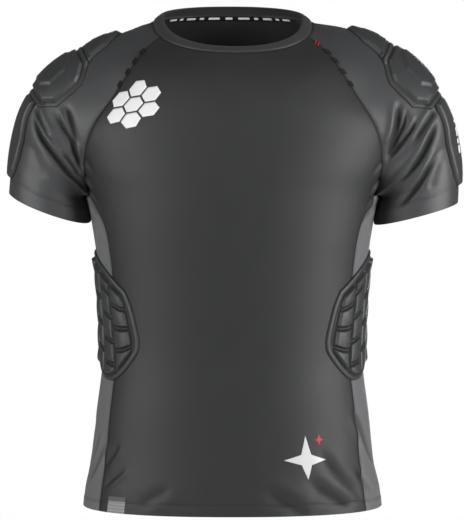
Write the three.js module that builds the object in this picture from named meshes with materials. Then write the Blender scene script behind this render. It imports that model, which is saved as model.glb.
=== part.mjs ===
// Padded compression shirt with short raglan sleeves, kept in its worn, hollow form.
// Millimetres, +Z up. The wearer faces -Y, and +X is the wearer's left side.
// The origin lies midway between the two sides of the neck, where the shoulders carry the shirt.
import * as THREE from 'three';

// Cloth, seams and layers
const clothWall = 1.5;
const bandWall = 2;
const tapeWall = 1;
const seamGap = 0.3;
const layerGap = 0.9;
const bandBulge = 1;

// Grid sizes of the panels
const frontColumns = 16;
const sideColumns = 6;
const sleeveColumns = 20;
const rowsPerLevel = 2;
const underarmRows = 3;

const degrees = Math.PI / 180;

// Rings round the body, from the hem, level 0, to the neck seam, level 12.
// The angles of the seams are counted from the middle front and from the middle back: they are
// the side seams up to the armpit, level 7, and the raglan seams above it.
const bodyLevels = table(
  ['sideZ', 'halfWidth', 'frontY', 'frontZ', 'backY', 'backZ', 'turn', 'frontSeam', 'backSeam'],
  [-679, 208, -121, -684, 116, -684, 0, 60, 60],
  [-652, 205, -119, -655, 114, -655, 0, 59.5, 60],
  [-612, 196.5, -115, -612, 110, -612, 0, 61, 61],
  [-550, 190, -111, -550, 104, -550, 0, 61, 61],
  [-470, 181, -108, -470, 98, -470, 0, 61, 61],
  [-380, 184, -112, -380, 102, -380, 0, 61, 61],
  [-297, 195, -118, -297, 110, -297, 0, 62, 62],
  [-250, 205, -120, -250, 113, -250, 0, 73, 73],
  [-203, 222, -120, -208, 115, -206, 2, 66, 66],
  [-146, 230, -117, -162, 115, -155, 4, 55, 55],
  [-90, 204, -112, -124, 110, -100, 6, 52, 50],
  [-25, 166, -102, -88, 98, -45, 6, 53, 48],
  [-6, 111, -87, -56, 79, 12, 5, 64, 54],
);
const armpitLevel = 7;
const neckLevel = 12;
const bodyRoundness = 0.87;

// The neckband's upper edge
const bandTop = { sideZ: 4, halfWidth: 98, frontY: -76, frontZ: -47, backY: 67, backZ: 24, turn: 5 };

// The line along the top of each shoulder and sleeve, with its slopes in degrees, and the cuff
const arms = table(
  ['name', 'side', 'outerX', 'outerZ', 'innerX', 'innerZ', 'lean', 'startSlope', 'startPull', 'endSlope', 'endPull'],
  ['right', -1, 312, -243, 202, -284, 0.22, -18, 173, -86, 140],
  ['left', 1, 315, -257, 202, -288, 0.12, -6, 140, -94, 147],
);

// A row of the sleeve is found by its place on the seams: 0 at the neck, 5 at the foot of the
// raglan seam, 6 at the armpit and 7 at the cuff.
const raglanEnd = 5;
const armpitPlace = 6;
const cuffPlace = 7;
const ringBlendEnd = 0.7;
const valleyStart = 1;
const valleyPower = 1.3;

// Half the depth of the arm's rings, which takes over from the shoulder's shape at depthStart
const armDepth = 57;
const cuffDepth = 52;
const depthStart = 2.5;

// Folds of the sleeves: each runs from one spot through a second to a third, in places and in
// shares of the way round, 1 being the front edge and -1 the back edge
const foldColumns = ['place1', 'round1', 'place2', 'round2', 'place3', 'round3', 'depth', 'width'];
const sleeveFolds = {
  right: table(
    foldColumns,
    [3.9, 0.34, 4.5, 0.58, 4.75, 0.95, 4, 13],
    [3.4, 0.58, 3.6, 0.8, 4.3, 0.98, 4, 12],
    [3.0, 0.62, 3.3, 0.78, 3.8, 0.92, 3, 11],
    [3.9, -0.36, 4.4, -0.6, 4.7, -0.95, 4, 13],
    [3.2, -0.6, 3.5, -0.78, 4.2, -0.97, 3.5, 13],
  ),
  left: table(
    foldColumns,
    [3.0, 0.68, 3.5, 0.84, 4.0, 0.98, 5, 13],
    [3.7, 0.56, 3.8, 0.76, 4.1, 0.96, 3.5, 11],
    [4.1, 0.36, 4.7, 0.54, 5.5, 0.8, 4.5, 13],
    [5.0, 0.36, 5.8, 0.52, 6.6, 0.7, 3.5, 12],
    [3.3, -0.62, 3.6, -0.8, 4.2, -0.97, 4, 13],
    [4.1, -0.38, 4.6, -0.58, 5.2, -0.85, 4, 13],
  ),
};
const sleeveFoldScale = { place: 50, round: 150 };

// Folds of the body in levels and in degrees from the middle front
const bodyFolds = table(
  ['level1', 'angle1', 'level2', 'angle2', 'level3', 'angle3', 'depth', 'width'],
  [3.0, 56, 2.3, 63, 1.6, 78, 5, 12],
  [2.2, 40, 1.5, 50, 0.6, 58, 3.5, 14],
  [1.9, 24, 1.2, 36, 0.3, 46, 2.5, 14],
  [2.5, -64, 1.7, -70, 1.0, -80, 4, 12],
  [2.7, -34, 2.0, -43, 1.35, -52, 3, 12],
  [2.9, 118, 2.2, 112, 1.4, 100, 4.5, 12],
  [2.2, 142, 1.5, 134, 0.6, 128, 3, 14],
  [2.7, -120, 2.0, -114, 1.2, -104, 4, 12],
  [2.0, -144, 1.3, -136, 0.5, -130, 3, 14],
);
const bodyFoldScale = { level: 66, angle: 2.3 };

// Grid lines of a shoulder pad: its edge, the inner edge of its rim, its face and its crown
const padLines = [0, 0.05, 0.12, 0.25, 0.37, 0.5, 0.63, 0.75, 0.88, 0.95, 1];
const widePadLines = [0, 0.05, 0.12, 0.18, 0.25, 0.31, 0.37, 0.43, 0.5, 0.57, 0.63, 0.69, 0.75, 0.82, 0.88, 0.95, 1];
const padRimShare = 0.05;
const padFaceShare = 0.12;
const padCrownStart = 0.25;
const padCrownEnd = 0.37;

// Shoulder pads. A row gives the pad's edges at a place on the sleeve, as shares of the way
// round to the front and to the back.
const shoulderPads = {
  upper: {
    outline: table(
      ['place', 'front', 'back'],
      [0.85, 0.14, 0.14], [1.0, 0.24, 0.24], [1.3, 0.37, 0.36], [1.5, 0.39, 0.38], [1.75, 0.41, 0.4], [1.86, 0.45, 0.42],
    ),
    rim: 2, face: 6.5, crown: 6.5, linesAcross: widePadLines,
  },
  middle: {
    outline: table(
      ['place', 'front', 'back'],
      [1.9, 0.44, 0.42], [2.2, 0.575, 0.55], [2.4, 0.62, 0.59], [2.8, 0.62, 0.59], [3.3, 0.6, 0.57], [3.72, 0.43, 0.42],
    ),
    rim: 2, face: 7, crown: 9.5, linesAcross: widePadLines,
  },
  lower: {
    outline: table(
      ['place', 'front', 'back'],
      [3.78, 0.35, 0.34], [4.3, 0.3, 0.3], [4.8, 0.28, 0.28], [5.6, 0.23, 0.23], [6.0, 0.18, 0.18], [6.4, 0.11, 0.11],
    ),
    rim: 1.5, face: 5, crown: 5, linesAcross: padLines,
  },
};
// Flank pads, on the body's surface. The top and bottom run back from the front corners, by
// level; the front and back edges run down, by degrees from the middle front.
const flankTop = table(['share', 'level'], [0, 5.0], [0.12, 5.14], [0.3, 5.36], [0.55, 5.62], [0.8, 5.7], [1, 5.5]);
const flankBottom = table(
  ['share', 'level'], [0, 3.98], [0.1, 3.72], [0.22, 3.58], [0.35, 3.6], [0.55, 3.78], [0.8, 3.98], [1, 4.2],
);
const flankFront = table(['share', 'angle'], [0, 48.5], [0.35, 45], [0.7, 41.5], [0.88, 41], [1, 44]);
const flankBack = table(['share', 'angle'], [0, 116], [0.3, 124], [0.7, 124], [1, 116]);
const flankBlocksAcross = 6;
const flankBlocksDown = 4;
const flankRimShare = 0.06;
const flankRim = 2;
const flankGroove = 3;
const flankBlock = 6.5;

// Hem label, on the front at the wearer's right
const label = { angle: -47.2, halfAngle: 5.2, topLevel: 0.8, wall: 1 };

// Neck tape, inside the back of the neck
const tape = { halfAngle: 46, topLevel: 11.98, bottomLevel: 11.83 };

function table(columns, ...rows) {
  return rows.map((row) => Object.fromEntries(columns.map((column, i) => [column, row[i]])));
}

function clamp01(value) {
  return Math.min(1, Math.max(0, value));
}

function mix(a, b, f) {
  return a + (b - a) * f;
}

function smooth(f) {
  const g = clamp01(f);
  return g * g * (3 - 2 * g);
}

// A column of a table, run smoothly through its rows
function along(rows, column, place) {
  const last = rows.length - 1;
  const i = Math.max(0, Math.min(Math.floor(place), last - 1));
  const f = place - i;
  const value = (k) => rows[Math.max(0, Math.min(last, k))][column];
  const [before, start, end, after] = [value(i - 1), value(i), value(i + 1), value(i + 2)];
  const slopeIn = (end - before) / 2;
  const slopeOut = (after - start) / 2;
  const f2 = f * f;
  const f3 = f2 * f;
  return (2 * f3 - 3 * f2 + 1) * start + (f3 - 2 * f2 + f) * slopeIn
    + (3 * f2 - 2 * f3) * end + (f3 - f2) * slopeOut;
}

// A column of a table at a value of its first column, straight between its rows
function between(rows, key, column, value) {
  const i = Math.max(1, rows.findIndex((row) => row[key] >= value));
  const [from, to] = [rows[i - 1], rows[i]];
  return mix(from[column], to[column], clamp01((value - from[key]) / (to[key] - from[key])));
}

const foldSamples = 12;

// How deep a spot lies in a set of folds, each a curve through three spots in a flat chart
function foldDepth(folds, spot) {
  let depth = 0;
  folds.forEach((fold) => {
    let nearest = Infinity;
    let nearestShare = 0;
    for (let i = 0; i <= foldSamples; i += 1) {
      const share = i / foldSamples;
      const distance = fold.curve.getPoint(share).distanceTo(spot);
      if (distance < nearest) {
        nearest = distance;
        nearestShare = share;
      }
    }
    const fade = smooth(nearestShare * 4) * smooth((1 - nearestShare) * 4);
    depth += fold.depth * fade * Math.exp(-((nearest / fold.width) ** 2));
  });
  return depth;
}

// A point of a ring, by its angle from the middle front towards +X
function ringPoint(ring, angle, roundness) {
  const sideways = Math.abs(Math.sin(angle)) ** roundness * Math.sign(Math.sin(angle));
  const forward = Math.abs(Math.cos(angle)) ** roundness;
  const atFront = Math.cos(angle) > 0;
  const y = (atFront ? ring.frontY : ring.backY) * forward;
  const z = mix(ring.sideZ, atFront ? ring.frontZ : ring.backZ, forward);
  const turn = ring.turn * forward * (atFront ? 1 : -1);
  return new THREE.Vector3(ring.halfWidth * sideways + turn, y, z);
}

function ringAt(level) {
  const columns = ['sideZ', 'halfWidth', 'frontY', 'frontZ', 'backY', 'backZ', 'turn'];
  return Object.fromEntries(columns.map((column) => [column, along(bodyLevels, column, level)]));
}

function bodyPoint(angle, level) {
  return ringPoint(ringAt(level), angle, bodyRoundness);
}

// The outward direction of any surface that is given by two numbers
function surfaceNormal(surface, a, b, step) {
  const acrossA = surface(a + step, b).sub(surface(a - step, b));
  const acrossB = surface(a, b + step).sub(surface(a, b - step));
  return acrossA.cross(acrossB).normalize();
}

const normalStep = 0.004;

function bodyNormal(angle, level) {
  const reach = Math.min(level, neckLevel - normalStep);
  return surfaceNormal(bodyPoint, angle, Math.max(reach, normalStep), normalStep);
}

function bodySpot(level, angle) {
  return new THREE.Vector2(level * bodyFoldScale.level, angle * bodyFoldScale.angle);
}
bodyFolds.forEach((fold) => Object.assign(fold, {
  curve: new THREE.QuadraticBezierCurve(
    bodySpot(fold.level1, fold.angle1),
    bodySpot(fold.level2, fold.angle2),
    bodySpot(fold.level3, fold.angle3),
  ),
}));

// The outer face of the body's cloth, with its folds
function foldedBody(angle, level) {
  const turned = angle > Math.PI ? angle - 2 * Math.PI : angle;
  const depth = foldDepth(bodyFolds, bodySpot(level, turned / degrees));
  return bodyPoint(angle, level).addScaledVector(bodyNormal(angle, level), -depth);
}

function seamAngle(level, face) {
  const column = face > 0 ? 'frontSeam' : 'backSeam';
  return along(bodyLevels, column, level) * degrees;
}

// The angle from the middle front of a seam on the front, face 1, or on the back, face -1
function seamFromFront(level, face) {
  const angle = seamAngle(level, face);
  return face > 0 ? angle : Math.PI - angle;
}

// Sleeve edges: the raglan seam, half of the side panel's top and the underarm seam
function sleeveEdge(arm, place, face) {
  const cuffInner = new THREE.Vector3(arm.innerX * arm.side, 0, arm.innerZ);
  if (place > armpitPlace) {
    return bodyPoint(arm.side * Math.PI / 2, armpitLevel).lerp(cuffInner, place - armpitPlace);
  }
  return bodyPoint(arm.side * edgeAngle(place, face), edgeLevel(place));
}

function edgeLevel(place) {
  return Math.max(neckLevel - place, armpitLevel);
}

function edgeAngle(place, face) {
  const seam = seamFromFront(edgeLevel(place), face);
  return mix(seam, Math.PI / 2, clamp01(place - raglanEnd));
}

// The direction in which a sleeve row leaves its edge: on from the body at the top, and round
// the arm at the bottom, with a valley between chest and arm on the way
function edgeDirection(arm, place, face, chord) {
  const angle = edgeAngle(place, face);
  const level = edgeLevel(place);
  const ahead = bodyPoint(arm.side * (angle + normalStep), level);
  const behind = bodyPoint(arm.side * (angle - normalStep), level);
  const onward = ahead.sub(behind).normalize().multiplyScalar(face);
  const around = new THREE.Vector3(0, -face, -face * arm.lean * clamp01(place - raglanEnd));
  const f = clamp01((place - valleyStart) / (armpitPlace - valleyStart)) ** valleyPower;
  return onward.multiplyScalar((1 - f) ** 2)
    .addScaledVector(chord, 2 * f * (1 - f))
    .addScaledVector(around, f ** 2)
    .normalize();
}

// The curve along the top of a shoulder and sleeve
function topCurve(arm) {
  const start = bodyPoint(arm.side * Math.PI / 2, neckLevel);
  const end = new THREE.Vector3(arm.side * arm.outerX, 0, arm.outerZ);
  const pull = (slope, length) => new THREE.Vector3(
    arm.side * Math.cos(slope * degrees) * length,
    0,
    Math.sin(slope * degrees) * length,
  );
  const afterStart = start.clone().add(pull(arm.startSlope, arm.startPull));
  const beforeEnd = end.clone().sub(pull(arm.endSlope, arm.endPull));
  return new THREE.CubicBezierCurve3(start, afterStart, beforeEnd, end);
}
arms.forEach((arm) => Object.assign(arm, { top: topCurve(arm) }));

// How far down its seams each place lies, as a share of the whole, so that rows fan out evenly
const shareSteps = 70;
const placeShares = measurePlaces();

function measurePlaces() {
  const lengths = [0];
  for (let i = 1; i <= shareSteps; i += 1) {
    const from = sleeveEdge(arms[1], (i - 1) / shareSteps * cuffPlace, 1);
    const to = sleeveEdge(arms[1], i / shareSteps * cuffPlace, 1);
    lengths.push(lengths[i - 1] + from.distanceTo(to));
  }
  return lengths.map((length) => length / lengths[shareSteps]);
}

function shareOfPlace(place) {
  const position = clamp01(place / cuffPlace) * shareSteps;
  const i = Math.min(Math.floor(position), shareSteps - 1);
  return mix(placeShares[i], placeShares[i + 1], position - i);
}

// One half of a sleeve row, from the line on top, 0, to the edge, 1
function halfRow(arm, place, face) {
  const top = arm.top.getPointAt(shareOfPlace(place));
  const edge = sleeveEdge(arm, place, face);
  const chord = top.clone().sub(edge).setY(0).normalize();
  const leaving = edgeDirection(arm, place, face, chord);
  const arriving = new THREE.Vector3(0, face, face * arm.lean * clamp01(place - raglanEnd)).normalize();
  const bend = leaving.angleTo(arriving);
  const arcPull = top.distanceTo(edge) / (3 * Math.cos(bend / 4) ** 2);
  const depth = mix(armDepth, cuffDepth, clamp01(place - raglanEnd));
  const depthPull = (depth + face * edge.y / 2) / (0.375 * (1 - face * leaving.y));
  const pull = mix(arcPull, depthPull, smooth((place - depthStart) / (raglanEnd - depthStart)));
  return new THREE.CubicBezierCurve3(
    top,
    top.clone().addScaledVector(arriving, -pull),
    edge.clone().addScaledVector(leaving, pull),
    edge,
  );
}

// A point of a sleeve, by its place and how far round it lies: 1 is the front edge, 0 the line
// on top and -1 the back edge
function sleevePoint(arm, place, round) {
  const face = round >= 0 ? 1 : -1;
  const row = halfRow(arm, place, face).getPoint(Math.abs(round));
  const share = Math.abs(round);
  const angle = mix(Math.PI / 2, edgeAngle(place, face), share);
  const ring = bodyPoint(arm.side * angle, edgeLevel(place));
  return ring.lerp(row, smooth(place / ringBlendEnd));
}

function sleeveNormal(arm, place, round) {
  const within = Math.min(cuffPlace - normalStep, Math.max(normalStep, place));
  const surface = (a, b) => sleevePoint(arm, b, a);
  return surfaceNormal(surface, round, within, normalStep).multiplyScalar(arm.side);
}

function sleeveSpot(place, round) {
  return new THREE.Vector2(place * sleeveFoldScale.place, round * sleeveFoldScale.round);
}
Object.values(sleeveFolds).flat().forEach((fold) => Object.assign(fold, {
  curve: new THREE.QuadraticBezierCurve(
    sleeveSpot(fold.place1, fold.round1),
    sleeveSpot(fold.place2, fold.round2),
    sleeveSpot(fold.place3, fold.round3),
  ),
}));

// The outer face of a sleeve's cloth, with its folds, which end short of the seams
function foldedSleeve(arm, place, round) {
  const clearOfSeam = smooth((1 - Math.abs(round)) / 0.08);
  const depth = clearOfSeam * foldDepth(sleeveFolds[arm.name], sleeveSpot(place, round));
  return sleevePoint(arm, place, round).addScaledVector(sleeveNormal(arm, place, round), -depth);
}

// Grids of points

function makeGrid(rows, columns, pointAt) {
  return rows.map((row) => columns.map((column) => pointAt(row, column)));
}

function steps(from, to, count) {
  return Array.from({ length: count + 1 }, (_, i) => mix(from, to, i / count));
}

// Draws the edge points of a grid in by half a seam's gap
function trimEdges(grid, closed) {
  const pull = (point, neighbour) => {
    const direction = neighbour.clone().sub(point).normalize();
    point.addScaledVector(direction, seamGap / 2);
  };
  const last = grid.length - 1;
  const end = grid[0].length - 1;
  for (let j = 0; j <= end; j += 1) {
    pull(grid[0][j], grid[1][j]);
    pull(grid[last][j], grid[last - 1][j]);
  }
  if (closed) {
    return grid;
  }
  for (let i = 0; i <= last; i += 1) {
    pull(grid[i][0], grid[i][1]);
    pull(grid[i][end], grid[i][end - 1]);
  }
  return grid;
}

// A closed wall between two grids of the same size
function wallBetween(outer, inner, closed) {
  const rows = outer.length;
  const columns = outer[0].length;
  const points = [...outer.flat(), ...inner.flat()];
  const outerAt = (i, j) => i * columns + j % columns;
  const innerAt = (i, j) => rows * columns + outerAt(i, j);
  const triangles = [];
  const addQuad = (a, b, c, d) => triangles.push(a, b, c, a, c, d);
  const lastColumn = closed ? columns : columns - 1;
  for (let i = 0; i < rows - 1; i += 1) {
    for (let j = 0; j < lastColumn; j += 1) {
      addQuad(outerAt(i, j), outerAt(i, j + 1), outerAt(i + 1, j + 1), outerAt(i + 1, j));
      addQuad(innerAt(i, j), innerAt(i + 1, j), innerAt(i + 1, j + 1), innerAt(i, j + 1));
    }
  }
  for (let j = 0; j < lastColumn; j += 1) {
    addQuad(innerAt(0, j), innerAt(0, j + 1), outerAt(0, j + 1), outerAt(0, j));
    addQuad(outerAt(rows - 1, j), outerAt(rows - 1, j + 1), innerAt(rows - 1, j + 1), innerAt(rows - 1, j));
  }
  if (!closed) {
    for (let i = 0; i < rows - 1; i += 1) {
      addQuad(outerAt(i, 0), outerAt(i + 1, 0), innerAt(i + 1, 0), innerAt(i, 0));
      addQuad(innerAt(i, columns - 1), innerAt(i + 1, columns - 1),
        outerAt(i + 1, columns - 1), outerAt(i, columns - 1));
    }
  }
  if (signedVolume(points, triangles) < 0) {
    triangles.reverse();
  }
  const geometry = new THREE.BufferGeometry();
  geometry.setAttribute('position', new THREE.Float32BufferAttribute(points.flatMap((p) => p.toArray()), 3));
  geometry.setIndex(triangles);
  geometry.computeVertexNormals();
  return geometry;
}

function signedVolume(points, triangles) {
  let sum = 0;
  for (let i = 0; i < triangles.length; i += 3) {
    const [a, b, c] = triangles.slice(i, i + 3).map((k) => points[k]);
    sum += a.dot(b.clone().cross(c));
  }
  return sum / 6;
}

// Offsets the points of a grid along the surface's normals
function offsetGrid(grid, normals, distance) {
  return grid.map((row, i) => row.map((point, j) => {
    const far = typeof distance === 'function' ? distance(i, j) : distance;
    return point.clone().addScaledVector(normals[i][j], far);
  }));
}

// Materials
function cloth(colour, roughness) {
  return new THREE.MeshStandardMaterial({ color: colour, roughness, metalness: 0 });
}
const bodyCloth = cloth(0x3f4043, 0.75);
const sideCloth = cloth(0x6d6e70, 0.8);
const padCloth = cloth(0x505154, 0.7);
const bandCloth = cloth(0x47484b, 0.8);
const tapeCloth = cloth(0x141415, 0.85);
const labelCloth = cloth(0x8b8c8f, 0.85);

const shirt = new THREE.Group();

function addPiece(name, geometry, material) {
  const mesh = new THREE.Mesh(geometry, material);
  mesh.name = name;
  shirt.add(mesh);
}

// Body panels: the front and back run from one seam to the other
const bodyRows = steps(0, neckLevel, neckLevel * rowsPerLevel);
const sideRows = bodyRows.filter((level) => level <= armpitLevel);

function addBodyPanel(name, face) {
  const columns = steps(-1, 1, frontColumns);
  const angleAt = (level, across) =>
    (face > 0 ? 0 : Math.PI) + across * seamAngle(level, face);
  const outer = makeGrid(bodyRows, columns, (level, across) => foldedBody(angleAt(level, across), level));
  const normals = makeGrid(bodyRows, columns, (level, across) => bodyNormal(angleAt(level, across), level));
  trimEdges(outer, false);
  addPiece(name, wallBetween(outer, offsetGrid(outer, normals, -clothWall), false), bodyCloth);
}

function addSidePanel(arm) {
  const columns = steps(0, 1, sideColumns);
  const angleAt = (level, across) =>
    arm.side * mix(seamFromFront(level, 1), seamFromFront(level, -1), across);
  const outer = makeGrid(sideRows, columns, (level, across) => foldedBody(angleAt(level, across), level));
  const normals = makeGrid(sideRows, columns, (level, across) => bodyNormal(angleAt(level, across), level));
  trimEdges(outer, false);
  addPiece(`side_panel_${arm.name}`, wallBetween(outer, offsetGrid(outer, normals, -clothWall), false), sideCloth);
}

// The rows of a sleeve meet the rows and columns of the panels that it is sewn to
function sleevePlaces() {
  const raglan = bodyRows.filter((level) => level > armpitLevel).reverse().map((level) => neckLevel - level);
  const sideTop = steps(raglanEnd, armpitPlace, sideColumns / 2);
  const underarm = steps(armpitPlace, cuffPlace, underarmRows).slice(1);
  return [...raglan, ...sideTop, ...underarm];
}

function addSleeve(arm) {
  const columns = steps(-1, 1, sleeveColumns);
  const outer = makeGrid(sleevePlaces(), columns, (place, round) => foldedSleeve(arm, place, round));
  const normals = makeGrid(sleevePlaces(), columns, (place, round) => sleeveNormal(arm, place, round));
  trimEdges(outer, false);
  addPiece(`sleeve_${arm.name}`, wallBetween(outer, offsetGrid(outer, normals, -clothWall), false), bodyCloth);
}

// The neckband's lower edge meets the tops of both panels and both sleeves at their own columns
function neckAngles() {
  const front = seamAngle(neckLevel, 1);
  const back = seamAngle(neckLevel, -1);
  const sleeveShares = steps(0, 1, sleeveColumns / 2);
  const overShoulder = sleeveShares.map((share) => roundToNeckAngle(1 - 2 * share));
  return [
    ...steps(-front, front, frontColumns).slice(0, -1),
    ...overShoulder.slice(0, -1),
    ...steps(Math.PI - back, Math.PI + back, frontColumns).slice(0, -1),
    ...overShoulder.map((angle) => 2 * Math.PI - angle).reverse().slice(0, -1),
  ];
}

// Where round the neck a sleeve's own columns end
function roundToNeckAngle(round) {
  return mix(Math.PI / 2, edgeAngle(0, round >= 0 ? 1 : -1), Math.abs(round));
}

// The outward direction of the cloth that the neckband is sewn to
function neckSeamNormal(angle) {
  const turned = angle > Math.PI ? 2 * Math.PI - angle : Math.abs(angle);
  const onFront = turned <= seamFromFront(neckLevel, 1) + normalStep;
  const onBack = turned >= seamFromFront(neckLevel, -1) - normalStep;
  if (onFront || onBack) {
    return bodyNormal(angle, neckLevel);
  }
  const face = turned < Math.PI / 2 ? 1 : -1;
  const round = face * (turned - Math.PI / 2) / (edgeAngle(0, face) - Math.PI / 2);
  return sleeveNormal(angle > Math.PI ? arms[0] : arms[1], 0, round);
}

function addNeckband() {
  const angles = neckAngles();
  const flatBand = (share, angle) =>
    bodyPoint(angle, neckLevel).lerp(ringPoint(bandTop, angle, bodyRoundness), share);
  const normalAt = (share, angle) => (share === 0
    ? neckSeamNormal(angle)
    : surfaceNormal((a, b) => flatBand(b, a), angle, share, normalStep));
  const rows = [0, 0.5, 1];
  const outer = makeGrid(rows, angles, (share, angle) =>
    flatBand(share, angle).addScaledVector(normalAt(share, angle), bandBulge * 4 * share * (1 - share)));
  const normals = makeGrid(rows, angles, normalAt);
  trimEdges(outer, true);
  addPiece('neckband', wallBetween(outer, offsetGrid(outer, normals, -bandWall), true), bandCloth);
}

function addNeckTape() {
  const rows = [tape.bottomLevel, tape.topLevel];
  const angles = steps(Math.PI - tape.halfAngle * degrees, Math.PI + tape.halfAngle * degrees, frontColumns);
  const base = makeGrid(rows, angles, (level, angle) => bodyPoint(angle, level));
  const normals = makeGrid(rows, angles, (level, angle) => bodyNormal(angle, level));
  const outer = offsetGrid(base, normals, -clothWall - layerGap);
  const inner = offsetGrid(base, normals, -clothWall - layerGap - tapeWall);
  addPiece('neck_tape', wallBetween(outer, inner, false), tapeCloth);
}

function addHemLabel() {
  const rows = steps(0, label.topLevel, 3);
  const columns = steps(-1, 1, 3).map((side) => (label.angle + side * label.halfAngle) * degrees);
  const base = makeGrid(rows, columns, (level, angle) => foldedBody(angle, level));
  const normals = makeGrid(rows, columns, (level, angle) => bodyNormal(angle, level));
  const inner = offsetGrid(base, normals, layerGap);
  const outer = offsetGrid(base, normals, layerGap + label.wall);
  addPiece('hem_label', wallBetween(outer, inner, false), labelCloth);
}

// Pads: a grid on a surface, with a height at each of its points
function addPad(name, rows, columns, spotAt, pointAt, normalAt, heightAt) {
  const spots = makeGrid(rows, columns, spotAt);
  const base = spots.map((row) => row.map(pointAt));
  const normals = spots.map((row) => row.map(normalAt));
  const inner = offsetGrid(base, normals, layerGap);
  const outer = offsetGrid(base, normals, (i, j) => layerGap + heightAt(rows[i], columns[j]));
  addPiece(name, wallBetween(outer, inner, false), padCloth);
}

// How far inside a pad's edge a share of the way across it lies
function inset(share) {
  return Math.min(share, 1 - share);
}

function addShoulderPad(arm, name) {
  const { outline, rim, face, crown, linesAcross } = shoulderPads[name];
  const [first, last] = [outline[0].place, outline[outline.length - 1].place];
  const spotAt = (down, across) => {
    const place = mix(first, last, down);
    const front = between(outline, 'place', 'front', place);
    const back = between(outline, 'place', 'back', place);
    return { place, round: mix(front, -back, across) };
  };
  const heightAt = (down, across) => {
    const depth = Math.min(inset(down), inset(across));
    const onFace = smooth((depth - padRimShare) / (padFaceShare - padRimShare));
    const onCrown = smooth((depth - padCrownStart) / (padCrownEnd - padCrownStart));
    return rim + (face - rim) * onFace + (crown - face) * onCrown;
  };
  addPad(
    `shoulder_pad_${name}_${arm.name}`, padLines, linesAcross, spotAt,
    (spot) => sleevePoint(arm, spot.place, spot.round),
    (spot) => sleeveNormal(arm, spot.place, spot.round),
    heightAt,
  );
}

// Grid lines across the blocks of a flank pad: the rim, each groove and each block's shoulders
function flankLines(count, linesInBlock) {
  const width = (1 - 2 * flankRimShare) / count;
  const lines = [0, flankRimShare / 2];
  for (let k = 0; k < count; k += 1) {
    linesInBlock.forEach((line) => lines.push(flankRimShare + (k + line) * width));
  }
  return [...lines, 1 - flankRimShare, 1 - flankRimShare / 2, 1];
}

// Plain basket weave: columns of upright blocks, each column half a block lower than the last
function flankHeight(down, across) {
  const depth = Math.min(inset(down), inset(across));
  if (depth < flankRimShare - 0.001) {
    return flankRim;
  }
  const width = (1 - 2 * flankRimShare) / flankBlocksAcross;
  const height = (1 - 2 * flankRimShare) / flankBlocksDown;
  const column = (across - flankRimShare) / width;
  const stagger = Math.floor(column + 0.001) % 2 / 2;
  const row = (down - flankRimShare) / height + stagger;
  const fromSide = inset(column - Math.floor(column + 0.001));
  const fromEnd = inset(row - Math.floor(row + 0.001));
  const raised = Math.min(smooth(fromSide / 0.2), smooth(fromEnd / 0.2));
  return flankGroove + (flankBlock - flankGroove) * raised;
}

function addFlankPad(arm) {
  const rows = flankLines(flankBlocksDown * 2, [0, 0.5]);
  const columns = flankLines(flankBlocksAcross, [0, 0.25, 0.75]);
  const spotAt = (down, across) => ({
    level: mix(between(flankTop, 'share', 'level', across), between(flankBottom, 'share', 'level', across), down),
    angle: arm.side * degrees
      * mix(between(flankFront, 'share', 'angle', down), between(flankBack, 'share', 'angle', down), across),
  });
  addPad(
    `flank_pad_${arm.name}`, rows, columns, spotAt,
    (spot) => bodyPoint(spot.angle, spot.level),
    (spot) => bodyNormal(spot.angle, spot.level),
    flankHeight,
  );
}

addBodyPanel('front', 1);
addBodyPanel('back', -1);
arms.forEach(addSidePanel);
arms.forEach(addSleeve);
addNeckband();
addNeckTape();
addHemLabel();
arms.forEach((arm) => Object.keys(shoulderPads).forEach((name) => addShoulderPad(arm, name)));
arms.forEach(addFlankPad);

export default shirt;
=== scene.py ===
"""The looks of a padded compression shirt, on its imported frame.

Metres in Blender and millimetres in the sums, +Z up. The wearer faces -Y, and +X is the wearer's left side.
"""
import math

import bpy
import numpy as np
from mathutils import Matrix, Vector


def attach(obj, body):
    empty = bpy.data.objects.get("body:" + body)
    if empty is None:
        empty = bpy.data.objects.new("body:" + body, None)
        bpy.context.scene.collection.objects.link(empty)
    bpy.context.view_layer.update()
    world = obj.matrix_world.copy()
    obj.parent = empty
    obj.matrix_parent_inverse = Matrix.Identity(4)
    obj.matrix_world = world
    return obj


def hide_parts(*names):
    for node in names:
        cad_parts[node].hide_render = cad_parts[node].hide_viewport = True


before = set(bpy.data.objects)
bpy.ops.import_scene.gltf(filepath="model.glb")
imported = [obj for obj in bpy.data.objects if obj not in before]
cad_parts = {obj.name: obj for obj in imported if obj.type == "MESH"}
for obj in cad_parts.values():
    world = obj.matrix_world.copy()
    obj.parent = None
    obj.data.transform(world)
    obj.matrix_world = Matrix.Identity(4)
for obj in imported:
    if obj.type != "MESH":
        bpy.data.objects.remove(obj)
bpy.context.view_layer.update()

MM = 0.001
DEGREES = math.pi / 180

# Cloth and seams
CLOTH_WALL = 1.5
BAND_WALL = 2.2
TAPE_WALL = 0.8
LABEL_WALL = 0.8
SEAM_DIP = 0.7
SEAM_DIP_WIDTH = 2.2
SEAM_REACH = 9
SEAM_FADE = 0.05
ARMPIT_LEVEL = 7
NECK_LEVEL = 12
BODY_ROUNDNESS = 0.87
RAGLAN_END = 5
ARMPIT_PLACE = 6
CUFF_PLACE = 7

# The hems: how far the doubled edge stands out, the dip along the stitches, and where these lie
HEM_FOLD = 0.5
HEM_FOLD_WIDTH = 2
HEM_DIP = 0.5
HEM_DIP_WIDTH = 1.3
HEM_LEVEL = 0.55
HEM_LEVEL_SIZE = 29
CUFF_HEM_PLACE = 6.4
CUFF_PLACE_SIZE = 35

# Distances between the grid lines of a piece
BODY_STEP = 3.45
SLEEVE_STEP = 2.5
EDGE_LINES = (0, 0.9, 1.8, 2.9, 4.4)


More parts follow.
